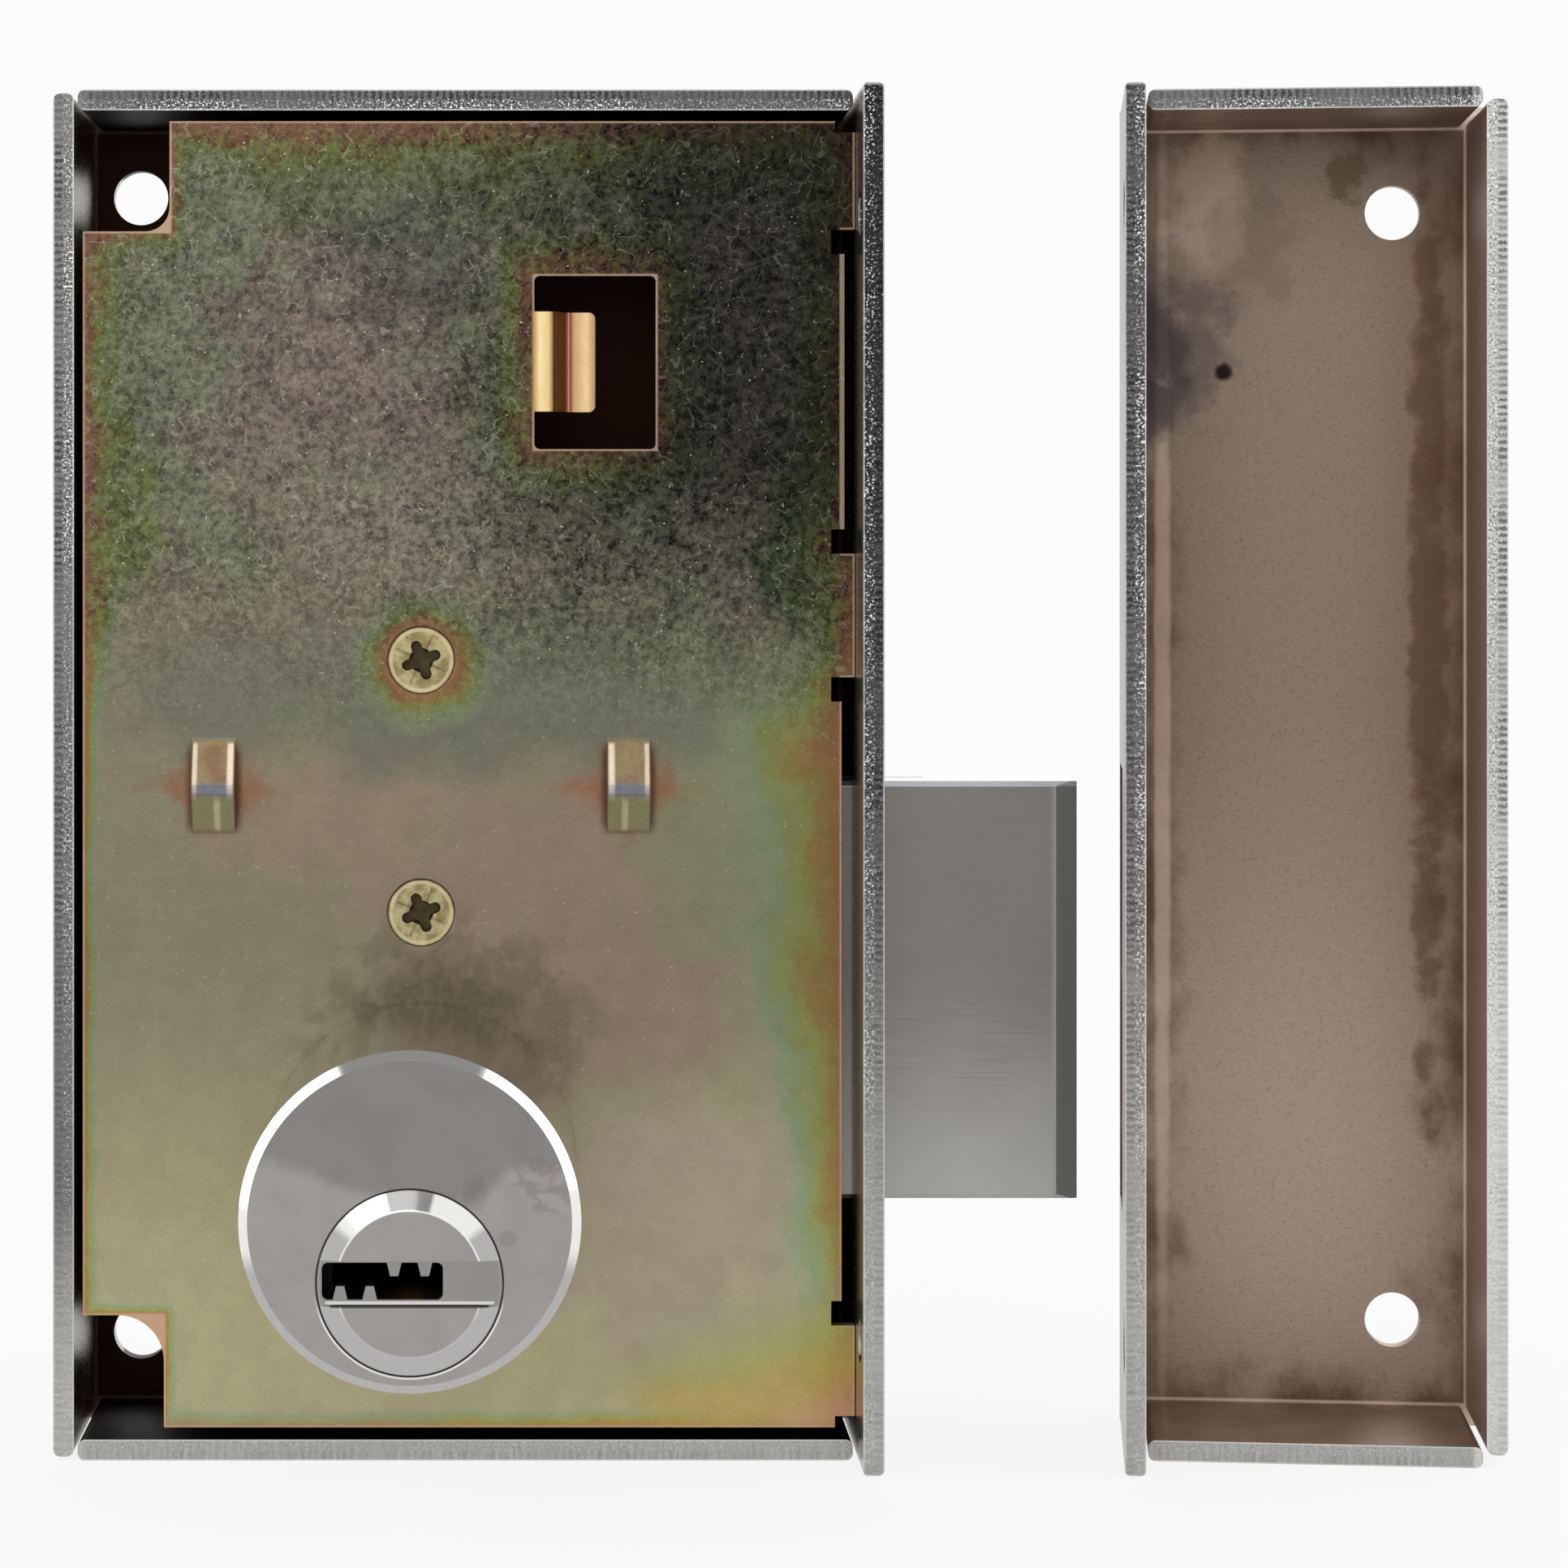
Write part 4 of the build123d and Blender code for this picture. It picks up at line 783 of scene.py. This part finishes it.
# Cylinder: barrel, chamber plugs and plug turned from brass bar, polished and chrome plated.
# The face is a soft mirror, painted darker than the sides as a reflection of dim surroundings
# and darker still above, with a few painted brown reflections; painted highlights and shade lie
# on the bevels, the cross groove and the cap's edge; the keyway is painted black inside as
# shade, and a fine dark joint runs round the plug.
face_y = -46.0
plug_axis = (0.0, -5.7)
collar_edge = 8.95
cap_edge = 7.0
groove_above, groove_below = 2.15, 2.2
groove_end, sill_highlight_end, groove_foot_shade_end = 8.7, 8.4, 7.7
chrome = Finish("polished_chrome", {"Metallic": 1.0})
chrome_spot = chrome.place()
chrome_x, chrome_y, chrome_z = chrome.split(chrome_spot)
chrome_faces = chrome.split(chrome.facing())
chrome_haze = chrome.noise(chrome_spot, (0.14, 0.14, 0.14), 3.0, warp=1.2)
chrome_fine = chrome.noise(chrome_spot, (2.2, 2.2, 2.2), 2.0)
chrome_flat = chrome_faces[1].rise(-0.985, -0.995)
# Painted shade: the face takes a darker tone than the sides, a reflection of dim surroundings,
# and darker still above.
sag = (1 - chrome_x * chrome_x / 90.0).at_least(0.0) * 2.6
chrome_slow = chrome.noise(chrome_spot, (0.08, 0.08, 0.08), 1.0)
shaded_side = (chrome_z + sag + (chrome_slow - 0.5) * 6.0).rise(4.0, 6.2)
face_colour = chrome.mix(shaded_side, shade(158, 155, 151), shade(135, 132, 129))
face_colour = chrome.tint(face_colour, 0.86 + 0.28 * chrome_haze)
swirl = (chrome_haze - 0.5).size().rise(0.08, 0.0)
# Painted brown reflections on the face, one of them following the polish swirls.
reflection_edge = (chrome_fine - 0.5) * 0.5 + (chrome_haze - 0.5) * 1.6
for place, reach, share in (
    ((12.8, 3.4), (3.6, 3.2), swirl * 0.34),
    ((6.2, 2.8), (1.4, 2.0), 0.22),
    ((9.4, -1.5), (0.9, 0.8), 0.24),
):
    brown = blot(chrome, chrome_x, chrome_z, place, reach, reflection_edge)
    face_colour = chrome.mix(brown * share, face_colour, shade(112, 92, 74))
plug_gap = ring_gap(chrome_x, chrome_z, plug_axis, 0.0)
on_front = chrome_y.rise(face_y + 0.5, face_y + 0.2)
outwards = chrome_faces[0] * chrome_faces[0] + chrome_faces[2] * chrome_faces[2]
outwards = outwards.math("SQRT").at_least(0.01)
aside = chrome_faces[0].size() / outwards
upwards = chrome_faces[2] / outwards
# Painted highlights on the ring's bevel and the plug's cone, and painted shade where the bevel
# faces up.
ring_highlight = aside.rise(0.4, 0.5) * upwards.rise(-0.32, -0.15)
cone_highlight = aside.rise(0.24, 0.3) * aside.rise(0.84, 0.76) * upwards.rise(0.2, 0.35)
on_plug = plug_gap.rise(collar_edge + 0.1, collar_edge)
bevel_highlight = ring_highlight + (cone_highlight - ring_highlight) * on_plug
bevel_light_and_shade = chrome.mix(upwards.rise(0.5, 0.9), shade(182, 180, 178), shade(140, 139, 138))
bevel_light_and_shade = chrome.mix(bevel_highlight, bevel_light_and_shade, shade(240, 238, 235))
chrome_bevel = chrome_faces[1].rise(-0.2, -0.4)
chrome_colour = chrome.mix(chrome_bevel, shade(206, 205, 204), bevel_light_and_shade)
chrome_colour = chrome.mix(chrome_flat, chrome_colour, face_colour)
chrome_low = chrome_z.rise(plug_axis[1] - 1.0, plug_axis[1] - 4.0)
# Painted shade in the cross groove and along its foot, and painted highlights along its sill, the
# cap's edge and beside the joint.
groove_top, groove_foot = plug_axis[1] + groove_above, plug_axis[1] - groove_below
groove_shade = chrome_z.rise(groove_top + 0.1, groove_top)
groove_shade = groove_shade * chrome_z.rise(groove_foot - 0.1, groove_foot)
groove_shade = groove_shade * plug_gap.rise(groove_end, groove_end - 0.1) * on_front
chrome_colour = chrome.mix(groove_shade * 0.5, chrome_colour, shade(134, 132, 130))
groove_foot_shade = (chrome_z - groove_foot).size().rise(0.13, 0.05)
groove_foot_shade = groove_foot_shade * chrome_x.size().rise(groove_foot_shade_end, groove_foot_shade_end - 0.2)
chrome_colour = chrome.mix(groove_foot_shade * on_front * 0.85, chrome_colour, shade(56, 52, 50))
sill_highlight = (chrome_z - groove_foot - 0.3).size().rise(0.2, 0.08)
sill_highlight = sill_highlight * plug_gap.rise(sill_highlight_end, sill_highlight_end - 0.2)
chrome_colour = chrome.mix(sill_highlight * on_front * 0.7, chrome_colour, shade(238, 237, 235))
cap_highlight = (plug_gap - cap_edge).size().rise(0.13, 0.04) * (1 - groove_shade)
cap_highlight = cap_highlight * on_front * (0.85 - 0.7 * chrome_low)
chrome_colour = chrome.mix(cap_highlight, chrome_colour, shade(246, 245, 244))
joint_highlight = (plug_gap - collar_edge - 0.2).size().rise(0.13, 0.05) * chrome_low
chrome_colour = chrome.mix(joint_highlight * on_front * 0.8, chrome_colour, shade(244, 243, 242))
joint_line = (plug_gap - collar_edge).size().rise(0.14, 0.07)
chrome_colour = chrome.mix(joint_line * on_front * 0.9, chrome_colour, shade(44, 40, 38))
chrome_colour = chrome.tint(chrome_colour, 0.96 + 0.08 * chrome_fine)
# The keyway is painted black inside, as shade.
keyway_shade = chrome_y.rise(face_y + 0.3, face_y + 1.1)
keyway_shade = keyway_shade * plug_gap.rise(collar_edge, collar_edge - 0.1)
chrome_colour = chrome.mix(keyway_shade * 0.97, chrome_colour, shade(10, 7, 6))
chrome.feed(chrome.surface, {
    "Base Color": chrome_colour,
    "Roughness": 0.07 + 0.06 * chrome_haze + 0.5 * keyway_shade,
    "Normal": chrome.bump(chrome_haze + chrome_fine * 0.1, 0.012),
})
dress(chrome, "cylinder_barrel", "chamber_plugs", "cylinder_plug")

# Springs: the detent's and the five pin springs are close coils of round steel wire with
# flat-wound ends. Each stands for its plain packed tube, and stays on the case. The plug's
# circlip is bent from darker spring steel.
circlip_steel = bright_steel("circlip_steel", shade(120, 120, 124), (2.0, 2.0, 2.0), 0.2)
dress(circlip_steel, "plug_circlip")
points_per_turn = 20
dead_turns = 1.4


def wound_spring(node, wire, turns):
    """A helix of round wire in a packed tube's place, closed up at both ends."""
    low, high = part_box(node)
    centre_x, centre_y = (low.x + high.x) / 2, (low.y + high.y) / 2
    radius = (high.x - low.x) / 2 - wire / 2
    travel = high.z - low.z - wire
    shape = bpy.data.curves.new(node + "_wire", "CURVE")
    shape.dimensions = "3D"
    shape.bevel_depth = wire / 2
    shape.bevel_resolution = 3
    shape.use_fill_caps = True
    line = shape.splines.new("POLY")
    count = int(turns * points_per_turn)
    line.points.add(count)
    dead = dead_turns * wire
    for index, point in enumerate(line.points):
        turn = index / points_per_turn
        open_share = min(max((turn - dead_turns) / (turns - 2 * dead_turns), 0.0), 1.0)
        closed = min(turn, dead_turns) + max(turn - turns + dead_turns, 0.0)
        height = closed * wire + open_share * (travel - 2 * dead)
        angle = 2 * math.pi * turn
        x = centre_x + radius * math.cos(angle)
        y = centre_y + radius * math.sin(angle)
        point.co = (x, y, low.z + wire / 2 + height, 1.0)
    spring = bpy.data.objects.new(node + "_coil", shape)
    bpy.context.scene.collection.objects.link(spring)
    shape.materials.append(spring_steel.material)
    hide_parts(node)
    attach(spring, "lock_case")


spring_steel = bright_steel("drawn_spring_wire", shade(142, 142, 146), (3.0, 3.0, 3.0), 0.25)
wound_spring("detent_spring", wire=0.0008, turns=7.0)
for number in pin_numbers:
    wound_spring(f"pin_spring_{number}", wire=0.0003, turns=11.0)

# Room side: cover and thumb turn in satin steel. The cover is brushed in rings and the turn
# along its length.
cover_finish = Finish("satin_cover", {"Metallic": 1.0})
cover_spot = cover_finish.place()
cover_x, cover_y, cover_z = cover_finish.split(cover_spot)
cover_radius = ring_gap(cover_x, cover_z, plug_axis, 0.0)
cover_polar = cover_finish.node("CombineXYZ", {}, {0: cover_radius, 1: cover_y * 0.6})
cover_rings = cover_finish.noise(cover_polar, (8.0, 8.0, 1.0), 3.0)
cover_cloud = cover_finish.noise(cover_spot, (0.12, 0.12, 0.12), 3.0)
cover_tone = 0.84 + 0.2 * cover_rings + 0.12 * cover_cloud
cover_colour = cover_finish.tint(shade(182, 179, 172), cover_tone)
cover_finish.feed(cover_finish.surface, {
    "Base Color": cover_colour,
    "Roughness": 0.24 + 0.14 * cover_rings + 0.08 * cover_cloud,
    "Normal": cover_finish.bump(cover_rings, 0.02),
})
dress(cover_finish, "turn_cover")

grip_finish = Finish("satin_turn", {"Metallic": 1.0})
grip_spot = grip_finish.place()
grip_lines = grip_finish.noise(grip_spot, (7.0, 7.0, 0.25), 3.0)
grip_cloud = grip_finish.noise(grip_spot, (0.15, 0.15, 0.15), 3.0)
grip_colour = grip_finish.tint(shade(184, 181, 174), 0.84 + 0.2 * grip_lines + 0.12 * grip_cloud)
grip_finish.feed(grip_finish.surface, {
    "Base Color": grip_colour,
    "Roughness": 0.22 + 0.14 * grip_lines + 0.1 * grip_cloud,
    "Normal": grip_finish.bump(grip_lines, 0.02),
})
dress(grip_finish, "thumb_turn")

# Grub screw of the thumb turn: blackened steel with a hexagon socket, rubbed paler in patches.
grub_finish = Finish("blackened_grub", {"Metallic": 0.7})
grub_spot = grub_finish.place()
grub_cloud = grub_finish.noise(grub_spot, (1.4, 1.4, 1.4), 4.0)
grub_colour = grub_finish.mix(grub_cloud.rise(0.5, 0.72), shade(34, 34, 36), shade(86, 84, 82))
grub_finish.feed(grub_finish.surface, {
    "Base Color": grub_colour,
    "Roughness": 0.3 + 0.25 * grub_cloud,
    "Normal": grub_finish.bump(grub_cloud, 0.03),
})
dress(grub_finish, "turn_grub_screw")

# Floor: a plain pale surface that the case and the keeper stand on. It shows the backdrop's
# white to the camera, keeps a faint shadow near the lock, and isn't there seen from below.
backdrop_white = 0.973
floor_half = 4.0
shadow_share = 0.12
shadow_reach = (420.0, 180.0)
floor_mesh = bpy.data.meshes.new("floor")
corners = ((-1, -1), (1, -1), (1, 1), (-1, 1))
corners = [(x * floor_half, y * floor_half, case_low.z) for x, y in corners]
floor_mesh.from_pydata(corners, [], [(0, 1, 2, 3)])
floor = bpy.data.objects.new("floor", floor_mesh)
bpy.context.scene.collection.objects.link(floor)
floor_finish = Finish("pale_floor", {"Base Color": shade(232, 232, 232), "Roughness": 0.9})
floor_x, floor_y, _ = floor_finish.split(floor_finish.place())
near = (floor_x * floor_x + floor_y * floor_y).math("SQRT").rise(*shadow_reach)


def looked_at(shader):
    """1 where the camera looks, straight or by way of something shiny, and 0 for other light."""
    looked = shader.node("LightPath", {}, {}, "Is Camera Ray")
    for way in ("Is Glossy Ray", "Is Transmission Ray"):
        looked = looked.at_least(shader.node("LightPath", {}, {}, way))
    return looked


lit = looked_at(floor_finish) * (1 - near * shadow_share)
glow = floor_finish.node("Emission", {}, {"Color": [backdrop_white] * 3 + [1.0]})
paper = Value(floor_finish, floor_finish.surface.outputs[0])
card = floor_finish.node("MixShader", {}, {0: lit, 1: paper, 2: glow})
below = floor_finish.node("NewGeometry", {}, {}, "Backfacing")
clear = floor_finish.node("BsdfTransparent", {}, {})
whole = floor_finish.node("MixShader", {}, {0: below, 1: card, 2: clear})
floor_finish.feed(floor_finish.nodes["Material Output"], {"Surface": whole})
floor_mesh.materials.append(floor_finish.material)

# Light: a white surround, softer than it looks to the camera, two softboxes above left and
# right, whose bright patches on the bevels are painted into the chrome as well, and a wide lamp
# each in front and behind.
surround_level = 0.75
world = bpy.data.worlds.new("surround")
bpy.context.scene.world = world
surround = Shader(world, "Background", {"Color": (1, 1, 1, 1)})
levels = {"Value": looked_at(surround), "To Min": surround_level, "To Max": backdrop_white}
surround.feed(surround.surface, {"Strength": surround.node("MapRange", {}, levels)})

middle = (cad_box[0] + cad_box[1]) / 2
lamps = (
    ("softbox_left", (-0.72, -0.12, 0.34), (1.0, 0.34), 1.9),
    ("softbox_right", (0.68, -0.12, 0.42), (0.9, 0.34), 1.9),
    ("wide_front", (-0.3, -0.95, 0.5), (0.7, 0.7), 2.0),
    ("wide_back", (0.35, 0.95, 0.5), (0.7, 0.7), 2.4),
)
for name, offset, sides, power in lamps:
    lamp = bpy.data.lights.new(name, "AREA")
    lamp.shape = "RECTANGLE"
    lamp.size, lamp.size_y = sides
    lamp.energy = power
    aim = (-Vector(offset)).normalized()
    along = aim.cross(Vector((0, 1, 0))).normalized()
    holder = bpy.data.objects.new(name, lamp)
    holder.matrix_world = Matrix((along, along.cross(aim), -aim)).transposed().to_4x4()
    holder.location = middle + Vector(offset)
    bpy.context.scene.collection.objects.link(holder)

# Camera: level, square to the case's open side, above and to the right of the cylinder. The
# shift frames the lock and its keeper as in the photograph.
camera_data = bpy.data.cameras.new("camera")
camera_data.sensor_width = 36.0
camera_data.lens = 104.2
camera_data.shift_x = 0.1636
camera_data.shift_y = -0.143
camera_data.clip_start = 0.01
camera = bpy.data.objects.new("camera", camera_data)
camera.location = (0.01128, -0.48, 0.06346)
camera.rotation_euler = (math.pi / 2, 0, 0)
bpy.context.scene.collection.objects.link(camera)
bpy.context.scene.camera = camera
bpy.context.scene.view_settings.view_transform = "Standard"
